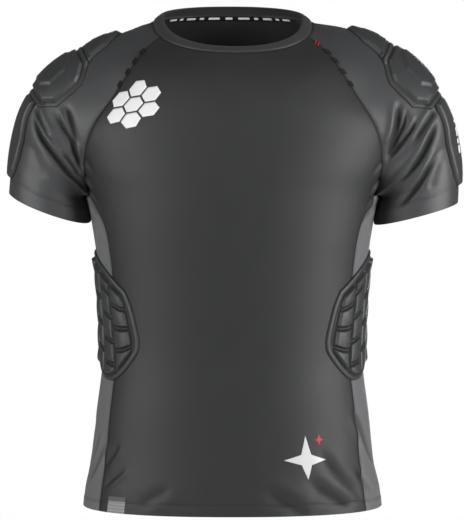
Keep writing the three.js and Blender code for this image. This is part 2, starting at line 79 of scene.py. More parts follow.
def table(columns, *rows):
    """A dict of columns, each an array with a number for each row."""
    return {name: np.array([row[i] for row in rows], float) for i, name in enumerate(columns)}


# Rings round the body from the hem, level 0, to the neck seam, level 12, with the angles of the seams
RING_COLUMNS = ("side_z", "half_width", "front_y", "front_z", "back_y", "back_z", "turn")
BODY = table(
    RING_COLUMNS + ("front_seam", "back_seam"),
    (-679, 208, -121, -684, 116, -684, 0, 60, 60),
    (-652, 205, -119, -655, 114, -655, 0, 59.5, 60),
    (-612, 196.5, -115, -612, 110, -612, 0, 61, 61),
    (-550, 190, -111, -550, 104, -550, 0, 61, 61),
    (-470, 181, -108, -470, 98, -470, 0, 61, 61),
    (-380, 184, -112, -380, 102, -380, 0, 61, 61),
    (-297, 195, -118, -297, 110, -297, 0, 62, 62),
    (-250, 205, -120, -250, 113, -250, 0, 73, 73),
    (-203, 222, -120, -208, 115, -206, 2, 66, 66),
    (-146, 230, -117, -162, 115, -155, 4, 55, 55),
    (-90, 204, -112, -124, 110, -100, 6, 52, 50),
    (-25, 166, -102, -88, 98, -45, 6, 53, 48),
    (-6, 111, -87, -56, 79, 12, 5, 64, 54),
)
BAND_TOP = dict(side_z=4, half_width=98, front_y=-76, front_z=-47, back_y=67, back_z=24, turn=5)

# The line along the top of each shoulder and sleeve, its slopes in degrees, and the cuff
ARMS = [
    dict(name="right", side=-1, outer_x=312, outer_z=-243, inner_x=198.4, inner_z=-284, lean=0.22,
         start_slope=-18, start_pull=173, end_slope=-86, end_pull=140),
    dict(name="left", side=1, outer_x=315, outer_z=-257, inner_x=198.4, inner_z=-288, lean=0.12,
         start_slope=-6, start_pull=140, end_slope=-94, end_pull=147),
]
ARM_DEPTH = 57
CUFF_DEPTH = 52
UNDERARM_BOW = 2.4
DEPTH_START = 2.5
RING_BLEND_END = 0.7
VALLEY_START = 1
VALLEY_POWER = 1.3
NORMAL_STEP = 0.004


# Sums
def smooth(f):
    g = np.clip(f, 0, 1)
    return g * g * (3 - 2 * g)


def mix(a, b, f):
    return a + (b - a) * f


def unit(v):
    return v / np.maximum(np.linalg.norm(v, axis=-1, keepdims=True), 1e-9)


def along(values, place):
    """A column of a table, run smoothly through its rows."""
    last = len(values) - 1
    i = np.clip(np.floor(place).astype(int), 0, last - 1)
    f = place - i
    before, start, end, after = (values[np.clip(i + k, 0, last)] for k in (-1, 0, 1, 2))
    slope_in, slope_out = (end - before) / 2, (after - start) / 2
    return ((2 * f**3 - 3 * f**2 + 1) * start + (f**3 - 2 * f**2 + f) * slope_in
            + (3 * f**2 - 2 * f**3) * end + (f**3 - f**2) * slope_out)


def bezier(a, b, c, d, t):
    t = t[..., None]
    s = 1 - t
    return s**3 * a + 3 * s * s * t * b + 3 * s * t * t * c + t**3 * d


def bell(x, width):
    """1 at x = 0, and fading to 0 on both sides."""
    return np.exp(-((x / width) ** 2))


def grid_of(down, across):
    return np.meshgrid(down, across, indexing="ij")


def lengths_along(points):
    """How far along a line each of its points lies."""
    return np.concatenate([[0], np.cumsum(np.linalg.norm(np.diff(points, axis=0), axis=1))])


def sample(at, lengths, points):
    """What a line of points has at some distances along it."""
    return np.stack([np.interp(at, lengths, points[:, k]) for k in range(3)], -1)


def distance_to(points, line):
    """How far each point lies from a line."""
    best = np.full(points.shape[:-1], np.inf)
    for start, end in zip(line, line[1:]):
        run = end - start
        t = np.clip(((points - start) @ run) / max(run @ run, 1e-9), 0, 1)
        best = np.minimum(best, np.linalg.norm(points - start - t[..., None] * run, axis=-1))
    return best


def looped(line):
    return np.concatenate([line, line[:1]])


# The body's surface
def ring_point(ring, angle):
    """A point of a ring by its angle from the middle front towards +X."""
    sideways = np.abs(np.sin(angle)) ** BODY_ROUNDNESS * np.sign(np.sin(angle))
    forward = np.abs(np.cos(angle)) ** BODY_ROUNDNESS
    at_front = np.cos(angle) > 0
    y = np.where(at_front, ring["front_y"], ring["back_y"]) * forward
    z = mix(ring["side_z"], np.where(at_front, ring["front_z"], ring["back_z"]), forward)
    turn = ring["turn"] * forward * np.where(at_front, 1, -1)
    return np.stack([ring["half_width"] * sideways + turn, y, z], -1)


def body_point(angle, level):
    angle, level = np.broadcast_arrays(np.asarray(angle, float), np.asarray(level, float))
    return ring_point({name: along(BODY[name], level) for name in RING_COLUMNS}, angle)


def normal_of(surface, a, b):
    """The outward direction of a surface that is given by two numbers."""
    step = NORMAL_STEP
    across_a = surface(a + step, b) - surface(a - step, b)
    across_b = surface(a, b + step) - surface(a, b - step)
    return unit(np.cross(across_a, across_b))


def body_normal(angle, level):
    angle, level = np.broadcast_arrays(np.asarray(angle, float), np.asarray(level, float))
    return normal_of(body_point, angle, np.clip(level, NORMAL_STEP, NECK_LEVEL - NORMAL_STEP))


def on_body(angle, level):
    """Points of the body's surface and the way out of it."""
    return body_point(angle, level), body_normal(angle, level)


def seam_from_front(level, face):
    """The angle from the middle front of a seam on the front, face 1, or on the back, face -1."""
    level = np.asarray(level, float)
    front = along(BODY["front_seam"], level) * DEGREES
    back = along(BODY["back_seam"], level) * DEGREES
    return np.where(face > 0, front, math.pi - back)


# The sleeves' surface, by place on the seams, 0 at the neck to 7 at the cuff, and share of the
# way round, from 0 on top to 1 at the front edge and -1 at the back edge
def edge_level(place):
    return np.maximum(NECK_LEVEL - place, ARMPIT_LEVEL)


def edge_angle(place, face):
    seam = seam_from_front(edge_level(place), face)
    return mix(seam, math.pi / 2, np.clip(place - RAGLAN_END, 0, 1))


def sleeve_edge(arm, place, face):
    on_body = body_point(arm["side"] * edge_angle(place, face), edge_level(place))
    armpit = body_point(arm["side"] * math.pi / 2, ARMPIT_LEVEL)
    cuff = np.array([arm["inner_x"] * arm["side"], 0, arm["inner_z"]], float)
    beyond = np.clip(place - ARMPIT_PLACE, 0, 1)[..., None]
    bow = np.array([arm["side"] * UNDERARM_BOW, 0, 0]) * 4 * beyond * (1 - beyond)
    return np.where(beyond > 0, mix(armpit, cuff, beyond) - bow, on_body)


def top_line(arm):
    start = body_point(arm["side"] * math.pi / 2, NECK_LEVEL)
    end = np.array([arm["side"] * arm["outer_x"], 0, arm["outer_z"]], float)

    def pull(slope, length):
        turn = slope * DEGREES
        return np.array([arm["side"] * math.cos(turn) * length, 0, math.sin(turn) * length])

    t = np.linspace(0, 1, 201)
    points = bezier(start, start + pull(arm["start_slope"], arm["start_pull"]),
                    end - pull(arm["end_slope"], arm["end_pull"]), end, t)
    lengths = lengths_along(points)
    return points, lengths / lengths[-1]


def place_shares():
    """How far down its seams each place lies, as a share of the whole."""
    places = np.linspace(0, CUFF_PLACE, 71)
    points = sleeve_edge(ARMS[1], places, 1)
    lengths = lengths_along(points)
    return places, lengths / lengths[-1]


for _arm in ARMS:
    _arm["top"] = top_line(_arm)
PLACES, SHARES = place_shares()


def sleeve_point(arm, place, round_):
    place, round_ = np.broadcast_arrays(np.asarray(place, float), np.asarray(round_, float))
    face = np.where(round_ >= 0, 1.0, -1.0)
    points, lengths = arm["top"]
    share = np.interp(place, PLACES, SHARES)
    top = sample(share, lengths, points)
    edge = sleeve_edge(arm, place, face)
    chord = top - edge
    chord[..., 1] = 0
    chord = unit(chord)
    late = np.clip(place - RAGLAN_END, 0, 1)

    angle, level = edge_angle(place, face), edge_level(place)
    onward = unit(body_point(arm["side"] * (angle + NORMAL_STEP), level)
                  - body_point(arm["side"] * (angle - NORMAL_STEP), level)) * face[..., None]
    zero = np.zeros_like(face)
    around = np.stack([zero, -face, -face * arm["lean"] * late], -1)
    f = (np.clip((place - VALLEY_START) / (ARMPIT_PLACE - VALLEY_START), 0, 1) ** VALLEY_POWER)[..., None]
    leaving = unit(onward * (1 - f) ** 2 + chord * 2 * f * (1 - f) + around * f**2)
    arriving = unit(np.stack([zero, face, face * arm["lean"] * late], -1))

    bend = np.arccos(np.clip((leaving * arriving).sum(-1), -1, 1))
    arc_pull = np.linalg.norm(top - edge, axis=-1) / (3 * np.cos(bend / 4) ** 2)
    depth = mix(ARM_DEPTH, CUFF_DEPTH, late)
    depth_pull = (depth + face * edge[..., 1] / 2) / (0.375 * (1 - face * leaving[..., 1]))
    settle = smooth((place - DEPTH_START) / (RAGLAN_END - DEPTH_START))
    pull = mix(arc_pull, depth_pull, settle)[..., None]
    row = bezier(top, top - arriving * pull, edge + leaving * pull, edge, np.abs(round_))
    ring = body_point(arm["side"] * mix(math.pi / 2, angle, np.abs(round_)), level)
    return mix(ring, row, smooth(place / RING_BLEND_END)[..., None])


def sleeve_normal(arm, place, round_):
    place, round_ = np.broadcast_arrays(np.asarray(place, float), np.asarray(round_, float))
    within = np.clip(place, NORMAL_STEP, CUFF_PLACE - NORMAL_STEP)
    return normal_of(lambda a, b: sleeve_point(arm, b, a), round_, within) * arm["side"]


def on_sleeve(arm, place, round_):
    return sleeve_point(arm, place, round_), sleeve_normal(arm, place, round_)


# Creases
def crease(depth, width, ridge, *spots):
    """A crease that runs smoothly through its spots, each an angle and a level on the body, or a place
    and a share of the way round on a sleeve. Beside its trough lies a ridge, on the left of its way
    for a positive ridge and on the right for a negative one."""
    return dict(depth=depth, width=width, ridge=ridge, spots=spots)


BODY_CREASES = [
    # Wearer's left flank, below the pad
    crease(6, 6, -1.8, (59, 3.1), (65, 2.75), (73, 2.2), (82, 1.6)),
    crease(1.8, 4, 1.2, (66, 2.3), (71, 1.9), (77, 1.5)),
    crease(2.2, 4.6, 1, (56, 1.75), (62, 1.3), (69, 0.8)),
    crease(2.6, 8, 0.9, (33, 2.35), (40, 1.85), (49, 1.25), (58, 0.7)),
    crease(2.6, 9, 1, (25, 1.6), (34, 1.1), (44, 0.6), (50, 0.1)),
    crease(2.4, 10, 0.9, (8, 1.3), (15, 0.8), (22, 0.3), (27, -0.1)),
    crease(2.4, 8, 0.8, (84, 2.6), (88, 2.0), (92, 1.2), (94, 0.5)),
    # Wearer's right flank
    crease(3, 5, 1.5, (-62, 2.5), (-67, 2.05), (-73, 1.55), (-80, 0.9)),
    crease(2.6, 4.2, -1.4, (-70, 2.75), (-75, 2.3), (-81, 1.9)),
    crease(1.5, 3.6, 1.4, (-50, 2.4), (-55, 2.1), (-60, 1.8)),
    crease(1.3, 3.6, 1.4, (-44, 1.85), (-51, 1.5), (-58, 1.1)),
    crease(1.6, 8, 0.7, (-20, 1.3), (-28, 0.9), (-36, 0.45)),
    crease(2.2, 7, 0.9, (-86, 2.9), (-90, 2.3), (-93, 1.5)),
    # Armpits
    crease(2.4, 3.6, 1.6, (78, 8.0), (70, 7.5), (64, 7.05)),
    crease(2.2, 3.6, 1.4, (80, 7.4), (71, 6.95), (63, 6.65)),
    crease(1.8, 4, 1, (82, 6.8), (72, 6.45), (64, 6.2)),
    crease(2.2, 3.6, -1.5, (-76, 8.1), (-69, 7.6), (-63, 7.2)),
    crease(2.4, 3.6, -1.5, (-79, 7.5), (-70, 7.1), (-62, 6.75)),
    crease(1.8, 4.2, -1, (-81, 6.9), (-72, 6.5), (-65, 6.3)),
    crease(1.6, 3.4, 1, (86, 5.9), (76, 6.15), (68, 6.5)),
    crease(1.6, 3.4, -1, (-86, 5.95), (-77, 6.2), (-69, 6.55)),
    crease(1.5, 3.2, 1.1, (72, 8.5), (65, 8.05), (59, 7.6)),
    crease(1.5, 3.2, -1.1, (-71, 8.55), (-64, 8.1), (-59, 7.7)),
    # Back
    crease(4.2, 7, 1.5, (127, 3.1), (121, 2.6), (113, 2.0), (104, 1.4)),
    crease(2.8, 9, 1, (146, 2.4), (139, 1.8), (131, 1.1), (126, 0.4)),
    crease(2.2, 10, 0.8, (170, 1.5), (163, 1.0), (156, 0.4)),
    crease(3.8, 7, -1.4, (-129, 3.0), (-122, 2.4), (-113, 1.8), (-106, 1.2)),
    crease(2.6, 8.5, -1, (-148, 2.2), (-140, 1.6), (-134, 0.9), (-129, 0.3)),
    crease(2, 9.5, -0.8, (-172, 1.7), (-165, 1.1), (-160, 0.5)),
    crease(2.2, 4, -1.3, (100, 7.6), (109, 7.1), (117, 6.8)),
    crease(1.8, 4.2, -1, (98, 6.9), (107, 6.5), (114, 6.3)),
    crease(2.2, 4, 1.3, (-101, 7.7), (-110, 7.3), (-118, 6.9)),
    crease(1.8, 4.4, 1, (-97, 6.9), (-106, 6.6), (-115, 6.4)),
    crease(1.8, 11, 0.6, (140, 9.2), (132, 8.5), (126, 7.9), (122, 7.3)),
    crease(1, 26, 0.2, (181, 10.2), (179, 8.4), (180, 6.2), (182, 4.0), (180, 2.2)),
    crease(1.9, 7.5, 1.2, (104, 6.9), (114, 6.3), (126, 5.9), (139, 5.65)),
    crease(1.7, 8, -1.1, (-106, 6.6), (-117, 6.1), (-130, 5.75), (-146, 5.6)),
    crease(1.5, 8, 1.2, (127, 5.1), (138, 4.75), (151, 4.5), (166, 4.4)),
    crease(1.6, 8.5, -1.1, (-125, 4.5), (-138, 4.1), (-152, 3.85), (-165, 3.7)),
    crease(1.5, 7, 0.9, (126, 3.9), (137, 3.5), (150, 3.25)),
    crease(1.8, 11, -0.6, (-141, 9.0), (-133, 8.4), (-127, 7.8)),
]
SLEEVE_CREASES = {
    "right": [
        crease(2.8, 4.2, 1.6, (3.8, 0.33), (3.95, 0.45), (4.1, 0.58), (4.2, 0.66)),
        crease(4.6, 4.6, 2.2, (3.95, 0.33), (4.3, 0.47), (4.5, 0.58), (4.65, 0.72), (4.75, 0.84),
               (4.78, 0.99)),
        crease(4, 4, 2.2, (3.4, 0.58), (3.55, 0.75), (3.75, 0.87), (4.1, 0.96), (4.35, 1.0)),
        crease(3.4, 5.6, -1.2, (3.05, 0.63), (3.25, 0.77), (3.6, 0.89), (3.9, 0.93)),
        crease(2.2, 3.8, 1.2, (4.15, 0.76), (4.35, 0.88), (4.55, 0.95)),
        crease(1, 9, 0.4, (4.9, 0.36), (5.3, 0.46), (5.7, 0.52)),
        crease(4.4, 5, -2, (4.0, -0.35), (4.35, -0.5), (4.55, -0.66), (4.7, -0.84), (4.78, -0.98)),
        crease(3.8, 4.6, -1.8, (3.3, -0.57), (3.5, -0.75), (3.8, -0.88), (4.2, -0.97)),
        crease(2.8, 6, 1, (2.95, -0.66), (3.2, -0.8), (3.6, -0.92)),
        crease(2, 7, -0.9, (4.9, -0.34), (5.4, -0.46), (5.9, -0.56)),
        crease(2, 5, -1, (4.5, -0.76), (4.9, -0.86), (5.3, -0.95)),
    ],
    "left": [
        crease(4.4, 6.4, -2, (2.85, 0.66), (3.3, 0.79), (3.65, 0.89), (3.9, 0.98)),
        crease(3, 3.4, -1.6, (3.15, 0.64), (3.5, 0.76), (3.75, 0.88), (4.0, 1.0)),
        crease(3.6, 3.8, -1.9, (3.6, 0.58), (3.75, 0.7), (3.88, 0.84), (4.1, 0.98)),
        crease(2.8, 5.5, -1.4, (3.85, 0.3), (3.92, 0.45), (4.0, 0.6), (4.15, 0.75)),
        crease(4.6, 6, -2.2, (4.1, 0.34), (4.45, 0.48), (4.75, 0.55), (5.05, 0.64), (5.5, 0.8)),
        crease(3.6, 5.4, -2.2, (4.9, 0.32), (5.4, 0.46), (5.85, 0.53), (6.25, 0.61), (6.55, 0.7)),
        crease(1.2, 7, -0.6, (5.35, 0.3), (5.8, 0.38), (6.2, 0.43)),
        crease(3.8, 6, 1.6, (2.95, -0.64), (3.4, -0.8), (3.85, -0.95)),
        crease(3.4, 4.2, 1.7, (3.6, -0.56), (3.8, -0.74), (4.05, -0.92)),
        crease(4.4, 5.4, 2, (3.95, -0.33), (4.4, -0.5), (4.7, -0.64), (5.0, -0.82)),
        crease(3.2, 6.4, 1.5, (4.8, -0.3), (5.3, -0.44), (5.9, -0.57), (6.4, -0.66)),
    ],
}
# A crease's shape. The ridge's place and size, and the reach, are in widths of the crease.
RIDGE_AT = 1.8
RIDGE_WIDTH = 1.1
CREASE_REACH = 4
TROUGH_POWER = 1.6
END_FADE = 3
# The sleeves' creases are deeper and narrower than their rows say, with a higher ridge
SLEEVE_DEPTH = 1.45
SLEEVE_WIDTH = 0.8
SLEEVE_RIDGE = 1.3


def through(spots, count):
    """Points along a smooth line through some spots."""
    spots = np.array(spots, float)
    place = np.linspace(0, len(spots) - 1, count)
    return np.stack([along(spots[:, k], place) for k in range(spots.shape[1])], -1)


def body_line(spots, count=28):
    flat = through(spots, count)
    return body_point(flat[:, 0] * DEGREES, flat[:, 1])


def sleeve_line(arm, spots, count=28):
    flat = through(spots, count)
    return sleeve_point(arm, flat[:, 0], flat[:, 1])


def line_distance(points, line):
    """For each point: its distance from a line, the share of the line where it is nearest, the step
    from there to the point, and the way that the line runs there."""
    best = np.full(len(points), np.inf)
    share = np.zeros(len(points))
    step = np.zeros((len(points), 3))
    heading = np.zeros((len(points), 3))
    for k in range(len(line) - 1):
        start, run = line[k], line[k + 1] - line[k]
        t = np.clip(((points - start) @ run) / max(run @ run, 1e-9), 0, 1)
        away = points - (start + t[:, None] * run)
        distance = np.linalg.norm(away, axis=1)
        near = distance < best
        best[near] = distance[near]
        share[near] = (k + t[near]) / (len(line) - 1)
        step[near] = away[near]
        heading[near] = run / max(np.linalg.norm(run), 1e-9)
    return best, share, step, heading


def crease_lines():
    """Every crease with its line on the surface, for the body and for each sleeve."""
    found = {"body": [dict(c, line=body_line(c["spots"])) for c in BODY_CREASES]}
    for arm in ARMS:
        found[arm["name"]] = [dict(c, line=sleeve_line(arm, c["spots"]), depth=c["depth"] * SLEEVE_DEPTH,
                                   width=c["width"] * SLEEVE_WIDTH, ridge=c["ridge"] * SLEEVE_RIDGE)
                              for c in SLEEVE_CREASES[arm["name"]]]
    return found


CREASES = crease_lines()


def crease_relief(points, normals, creases):
    """How far each point is raised, or sunk, by a set of creases."""
    shape = points.shape[:-1]
    flat, out = points.reshape(-1, 3), normals.reshape(-1, 3)
    relief = np.zeros(len(flat))
    for one in creases:
        line, width, ridge = one["line"], one["width"], one["ridge"]
        reach = width * CREASE_REACH
        low, high = line.min(0) - reach, line.max(0) + reach
        near = np.flatnonzero(((flat > low) & (flat < high)).all(1))
        if not len(near):
            continue
        distance, share, step, heading = line_distance(flat[near], line)
        side = np.sign((np.cross(out[near], heading) * step).sum(1))
        u = distance / width
        fade = smooth(share * END_FADE) * smooth((1 - share) * END_FADE)
        raised = abs(ridge) * bell(u * side * np.sign(ridge) - RIDGE_AT, RIDGE_WIDTH)
        relief[near] += fade * (raised - one["depth"] * np.exp(-(u**TROUGH_POWER)))
    return relief.reshape(shape)


# Seams, as lines on the surface
def seam_lines():
    """The seams by name, each with points and outward directions."""
    found = {}
    levels = np.linspace(0, NECK_LEVEL, 241)
    for arm in ARMS:
        for face, word in ((1, "front"), (-1, "back")):
            angle = arm["side"] * seam_from_front(levels, face)
            found[f"{word}_{arm['name']}"] = on_body(angle, levels)
        across = np.linspace(0, 1, 41)
        level = np.full_like(across, ARMPIT_LEVEL)
        angle = arm["side"] * mix(seam_from_front(level, 1), seam_from_front(level, -1), across)
        found[f"gusset_{arm['name']}"] = on_body(angle, level)
        places = np.linspace(ARMPIT_PLACE, CUFF_PLACE, 21)
        found[f"underarm_{arm['name']}"] = on_sleeve(arm, places, 1)
    around = np.linspace(0, 2 * math.pi, 361)
    found["neck"] = on_body(around, NECK_LEVEL)
    return found


SEAMS = seam_lines()


def seam_relief(points, names):
    """The dip of the cloth into its seams."""
    flat = points.reshape(-1, 3)
    relief = np.zeros(len(flat))
    for name in names:
        line = SEAMS[name][0]
        low, high = line.min(0) - SEAM_REACH, line.max(0) + SEAM_REACH
        near = np.flatnonzero(((flat > low) & (flat < high)).all(1))
        dip = SEAM_DIP * bell(distance_to(flat[near], line), SEAM_DIP_WIDTH)
        relief[near] = np.minimum(relief[near], -dip)
    return relief.reshape(points.shape[:-1])


def hem_relief(beyond):
    """The doubled edge of a hem, by the distance beyond its stitches."""
    return HEM_FOLD * smooth(beyond / HEM_FOLD_WIDTH) - HEM_DIP * bell(beyond, HEM_DIP_WIDTH)


def body_relief(base, normal, level):
    return crease_relief(base, normal, CREASES["body"]) + hem_relief((HEM_LEVEL - level) * HEM_LEVEL_SIZE)


def folded_body(angle, level, lift=0.0):
    """The cloth of the body, with its creases, and the way out of it."""
    base, normal = on_body(angle, level)
    return base + normal * (body_relief(base, normal, level) + lift)[..., None], normal


def shade_of(relief):
    """Painted shade in a crease, darker the deeper it is."""
    return np.clip((-relief - 0.8) / 2.0, 0, 1)


def underarm_shade(place, round_):
    """Painted shade on the inner side of a sleeve, where it lies close to the body."""
    return 0.9 * smooth((np.abs(round_) - 0.5) / 0.36) * smooth((place - 4.3) / 0.9)


def folded_sleeve(arm, place, round_, lift=0.0):
    base, normal = on_sleeve(arm, place, round_)
    relief = crease_relief(base, normal, CREASES[arm["name"]])
    relief = relief * smooth((1 - np.abs(np.asarray(round_, float))) / SEAM_FADE)
    relief = relief + hem_relief((place - CUFF_HEM_PLACE) * CUFF_PLACE_SIZE)
    return base + normal * (relief + lift)[..., None], normal


# Meshes
def new_object(name, vertices, faces, flat=None, values=None):
    """A smooth mesh object from points in millimetres. flat gives each point's place on the cloth
    and values a number for each point, stored as the attribute relief: painted shade, by which the
    materials darken the colour."""
    mesh = bpy.data.meshes.new(name)
    mesh.from_pydata((np.asarray(vertices) * MM).tolist(), [], faces)
    mesh.polygons.foreach_set("use_smooth", np.ones(len(mesh.polygons), bool))
    corner = np.zeros(len(mesh.loops), np.int32)
    mesh.loops.foreach_get("vertex_index", corner)
    if flat is not None:
        layer = mesh.uv_layers.new(name="cloth")
        layer.data.foreach_set("uv", np.asarray(flat, np.float32)[corner].ravel())
    if values is not None:
        attribute = mesh.attributes.new("relief", "FLOAT", "POINT")
        attribute.data.foreach_set("value", np.asarray(values, np.float32))
    mesh.update()
    made = bpy.data.objects.new(name, mesh)
    bpy.context.scene.collection.objects.link(made)
    return made


def flat_places(grid):
    """Where each point of a grid lies on the flat cloth, in centimetres."""
    across = np.linalg.norm(np.diff(grid, axis=1), axis=-1)
    down = np.linalg.norm(np.diff(grid, axis=0), axis=-1)
    u = np.concatenate([np.zeros((grid.shape[0], 1)), np.cumsum(across, 1)], 1)
    v = np.concatenate([np.zeros((1, grid.shape[1])), np.cumsum(down, 0)], 0)
    u = u - u[:, u.shape[1] // 2][:, None]
    return np.stack([u, v], -1) / 10


def perimeter(rows, columns):
    loop = [(0, j) for j in range(columns)]
    loop += [(i, columns - 1) for i in range(1, rows)]
    loop += [(rows - 1, j) for j in range(columns - 2, -1, -1)]
    return loop + [(i, 0) for i in range(rows - 2, 0, -1)]


def shell(name, outer, inner, closed=False, values=None, roundness=0.4):
    """A closed wall between two grids of points, with rounded edges. A closed grid joins its last
    column to its first."""
    rows, columns = outer.shape[:2]
    flat = flat_places(outer)
    if values is None:
        values = np.zeros((rows, columns))
    vertices = [outer.reshape(-1, 3), inner.reshape(-1, 3)]
    places = [flat.reshape(-1, 2)] * 2
    # The relief attribute holds values, the painted shade of each point
    relief = [values.reshape(-1)] * 2
    count = rows * columns

    index = np.arange(count).reshape(rows, columns)
    if closed:
        index = np.concatenate([index, index[:, :1]], 1)
    a, b, c, d = index[:-1, :-1], index[:-1, 1:], index[1:, 1:], index[1:, :-1]
    outside = np.stack([a, b, c, d], -1).reshape(-1, 4)
    inside = np.stack([a, d, c, b], -1).reshape(-1, 4) + count
    faces = [outside, inside]

    if closed:
        loops = [[(0, j) for j in range(columns)], [(rows - 1, j) for j in range(columns - 1, -1, -1)]]
    else:
        loops = [perimeter(rows, columns)]
    start = 2 * count
    for loop in loops:
        i, j = np.array(loop).T
        step_i = np.where(i == 0, 1, np.where(i == rows - 1, -1, 0))
        step_j = np.zeros_like(j) if closed else np.where(j == 0, 1, np.where(j == columns - 1, -1, 0))
        out = np.zeros((len(i), 3))
        has_i, has_j = step_i != 0, step_j != 0
        out[has_i] += unit(outer[i, j] - outer[i + step_i, j])[has_i]
        out[has_j] += unit(outer[i, j] - outer[i, j + step_j])[has_j]
        wall = np.linalg.norm(outer[i, j] - inner[i, j], axis=-1, keepdims=True)
        vertices.append((outer[i, j] + inner[i, j]) / 2 + unit(out) * wall * roundness)
        places.append(flat[i, j])
        relief.append(values[i, j])
        ring = i * columns + j
        following = np.roll(ring, -1)
        middle = start + np.arange(len(ring))
        after = np.roll(middle, -1)
        faces.append(np.stack([following, ring, middle, after], -1))
        faces.append(np.stack([after, middle, ring + count, following + count], -1))
        start += len(ring)

    vertices = np.concatenate(vertices)
    faces = np.concatenate(faces)
    corners = vertices[faces]
    first = (corners[:, 0] * np.cross(corners[:, 1], corners[:, 2])).sum()
    second = (corners[:, 0] * np.cross(corners[:, 2], corners[:, 3])).sum()
    if first + second < 0:
        faces = faces[:, ::-1]
    return new_object(name, vertices, faces.tolist(), np.concatenate(places), np.concatenate(relief))


def lines_over(length, step, edges=(True, True)):
    """Grid lines over a length, as shares of it, close together near the edges that are sewn."""
    near = np.array(EDGE_LINES)
    start = near if edges[0] else np.array([0.0])
    end = length - near[::-1] if edges[1] else np.array([float(length)])
    count = max(2, int(round((end[0] - start[-1]) / step)))
    middle = np.linspace(start[-1], end[0], count + 1)[1:-1]
    return np.concatenate([start, middle, end]) / length


def dress(piece, node, material):
    """Gives a piece its material and its body, and hides the imported part of the node that it stands for,
    if any.
    """
    piece.data.materials.append(material)
    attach(piece, "root")
    if node:
        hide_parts(node)
    return piece


# Materials
class Nodes:
    """A material's nodes, made one by one."""

    def __init__(self, name):
        self.material = bpy.data.materials.new(name)
        self.material.use_nodes = True
        self.tree = self.material.node_tree
        self.shader = self.tree.nodes["Principled BSDF"]

    def add(self, kind, values=None, **options):
        node = self.tree.nodes.new(kind)
        for key, value in options.items():
            setattr(node, key, value)
        for key, value in (values or {}).items():
            if isinstance(value, bpy.types.NodeSocket):
                self.tree.links.new(value, node.inputs[key])
            else:
                node.inputs[key].default_value = value
        return node

    def sum(self, operation, a, b=0.0, c=0.0):
        return self.add("ShaderNodeMath", {0: a, 1: b, 2: c}, operation=operation).outputs[0]

    def set(self, **values):
        for key, value in values.items():
            socket = self.shader.inputs[key.replace("_", " ")]
            if isinstance(value, bpy.types.NodeSocket):
                self.tree.links.new(value, socket)
            else:
                socket.default_value = value

    def times(self, a, b):
        return self.sum("MULTIPLY", a, b)

    def wave(self, a, b):
        """The sine of a times b."""
        return self.sum("SINE", self.times(a, b))

    def places(self):
        """The place on the cloth, and its two numbers, across and down."""
        flat = self.add("ShaderNodeUVMap", uv_map="cloth").outputs["UV"]
        return flat, *self.add("ShaderNodeSeparateXYZ", {0: flat}).outputs[:2]

    def noise(self, place, scale, detail, roughness=0.5):
        values = {"Vector": place, "Scale": scale, "Detail": detail, "Roughness": roughness}
        return self.add("ShaderNodeTexNoise", values).outputs["Fac"]

    def bump(self, strength, distance, height):
        values = {"Strength": strength, "Distance": distance, "Height": height}
        return self.add("ShaderNodeBump", values).outputs[0]

    def colours(self, factor, a, b):
        made = self.add("ShaderNodeMix", {"Factor": factor}, data_type="RGBA")
        for socket, colour in ((made.inputs[6], a), (made.inputs[7], b)):
            if isinstance(colour, bpy.types.NodeSocket):
                self.tree.links.new(colour, socket)
            else:
                socket.default_value = (*colour, 1)
        return made.outputs[2]


def shaded(colour, share):
    return tuple(c * share for c in colour)


def knit(name, colour, pitch=0.075, open_knit=0.0, painted_shade=0.0, sheen=0.3, roughness=0.55, specular=0.4):
    """Stretch knit: upright columns of loops, pitch centimetres apart. groove sets how much the painted
    shade in a piece's relief attribute darkens and dulls it, in creases, grooves and under the arms."""
    n = Nodes(name)
    flat, across, down = n.places()
    turn = 2 * math.pi / pitch
    courses = n.wave(down, turn * 1.25)
    shift = n.times(n.sum("ABSOLUTE", courses), 0.9)
    columns = n.sum("SINE", n.sum("ADD", n.times(across, turn), shift))
    loops = n.sum("MULTIPLY_ADD", columns, 0.35, n.times(courses, 0.15))

    coarse = n.noise(flat, 0.35, 3.0, 0.55)
    fine = n.noise(flat, 14.0, 2.0, 0.7)
    fleck = n.sum("MULTIPLY_ADD", n.noise(flat, 3.2, 3.0, 0.8), 1.1, -0.55)
    tone = n.sum("MULTIPLY_ADD", fine, 0.45, n.times(coarse, 0.55))
    tone = n.sum("ADD", tone, fleck)
    tone = n.sum("ADD", tone, n.times(loops, 0.12))
    paint = n.colours(tone, shaded(colour, 0.84), shaded(colour, 1.17))

    height = n.sum("ADD", loops, n.times(fine, 0.3))
    if open_knit:
        spin = 2 * math.pi / (pitch * 2.4)
        holes = n.times(n.wave(across, spin), n.wave(down, spin))
        hole = n.sum("SMOOTH_MIN", n.sum("GREATER_THAN", holes, 0.45), 1.0, 0.1)
        paint = n.colours(n.times(hole, open_knit), paint, shaded(colour, 0.25))
        height = n.sum("SUBTRACT", height, n.times(hole, 0.8))
    rough = n.sum("MULTIPLY_ADD", coarse, 0.14, roughness - 0.07)
    if painted_shade:
        # The painted shade stored in the relief attribute
        low = n.add("ShaderNodeAttribute", attribute_name="relief").outputs["Fac"]
        painted_shade_here = n.times(low, painted_shade)
        # Painted shade: a darker colour where the attribute is high
        paint = n.colours(painted_shade_here, paint, shaded(colour, 0.12))
        rough = n.sum("MULTIPLY_ADD", painted_shade_here, 0.45, rough)
    n.set(Base_Color=paint, Roughness=rough, Normal=n.bump(0.35, 0.00018, height), Sheen_Weight=sheen,
          Sheen_Roughness=0.45, Specular_IOR_Level=specular)
    return n.material


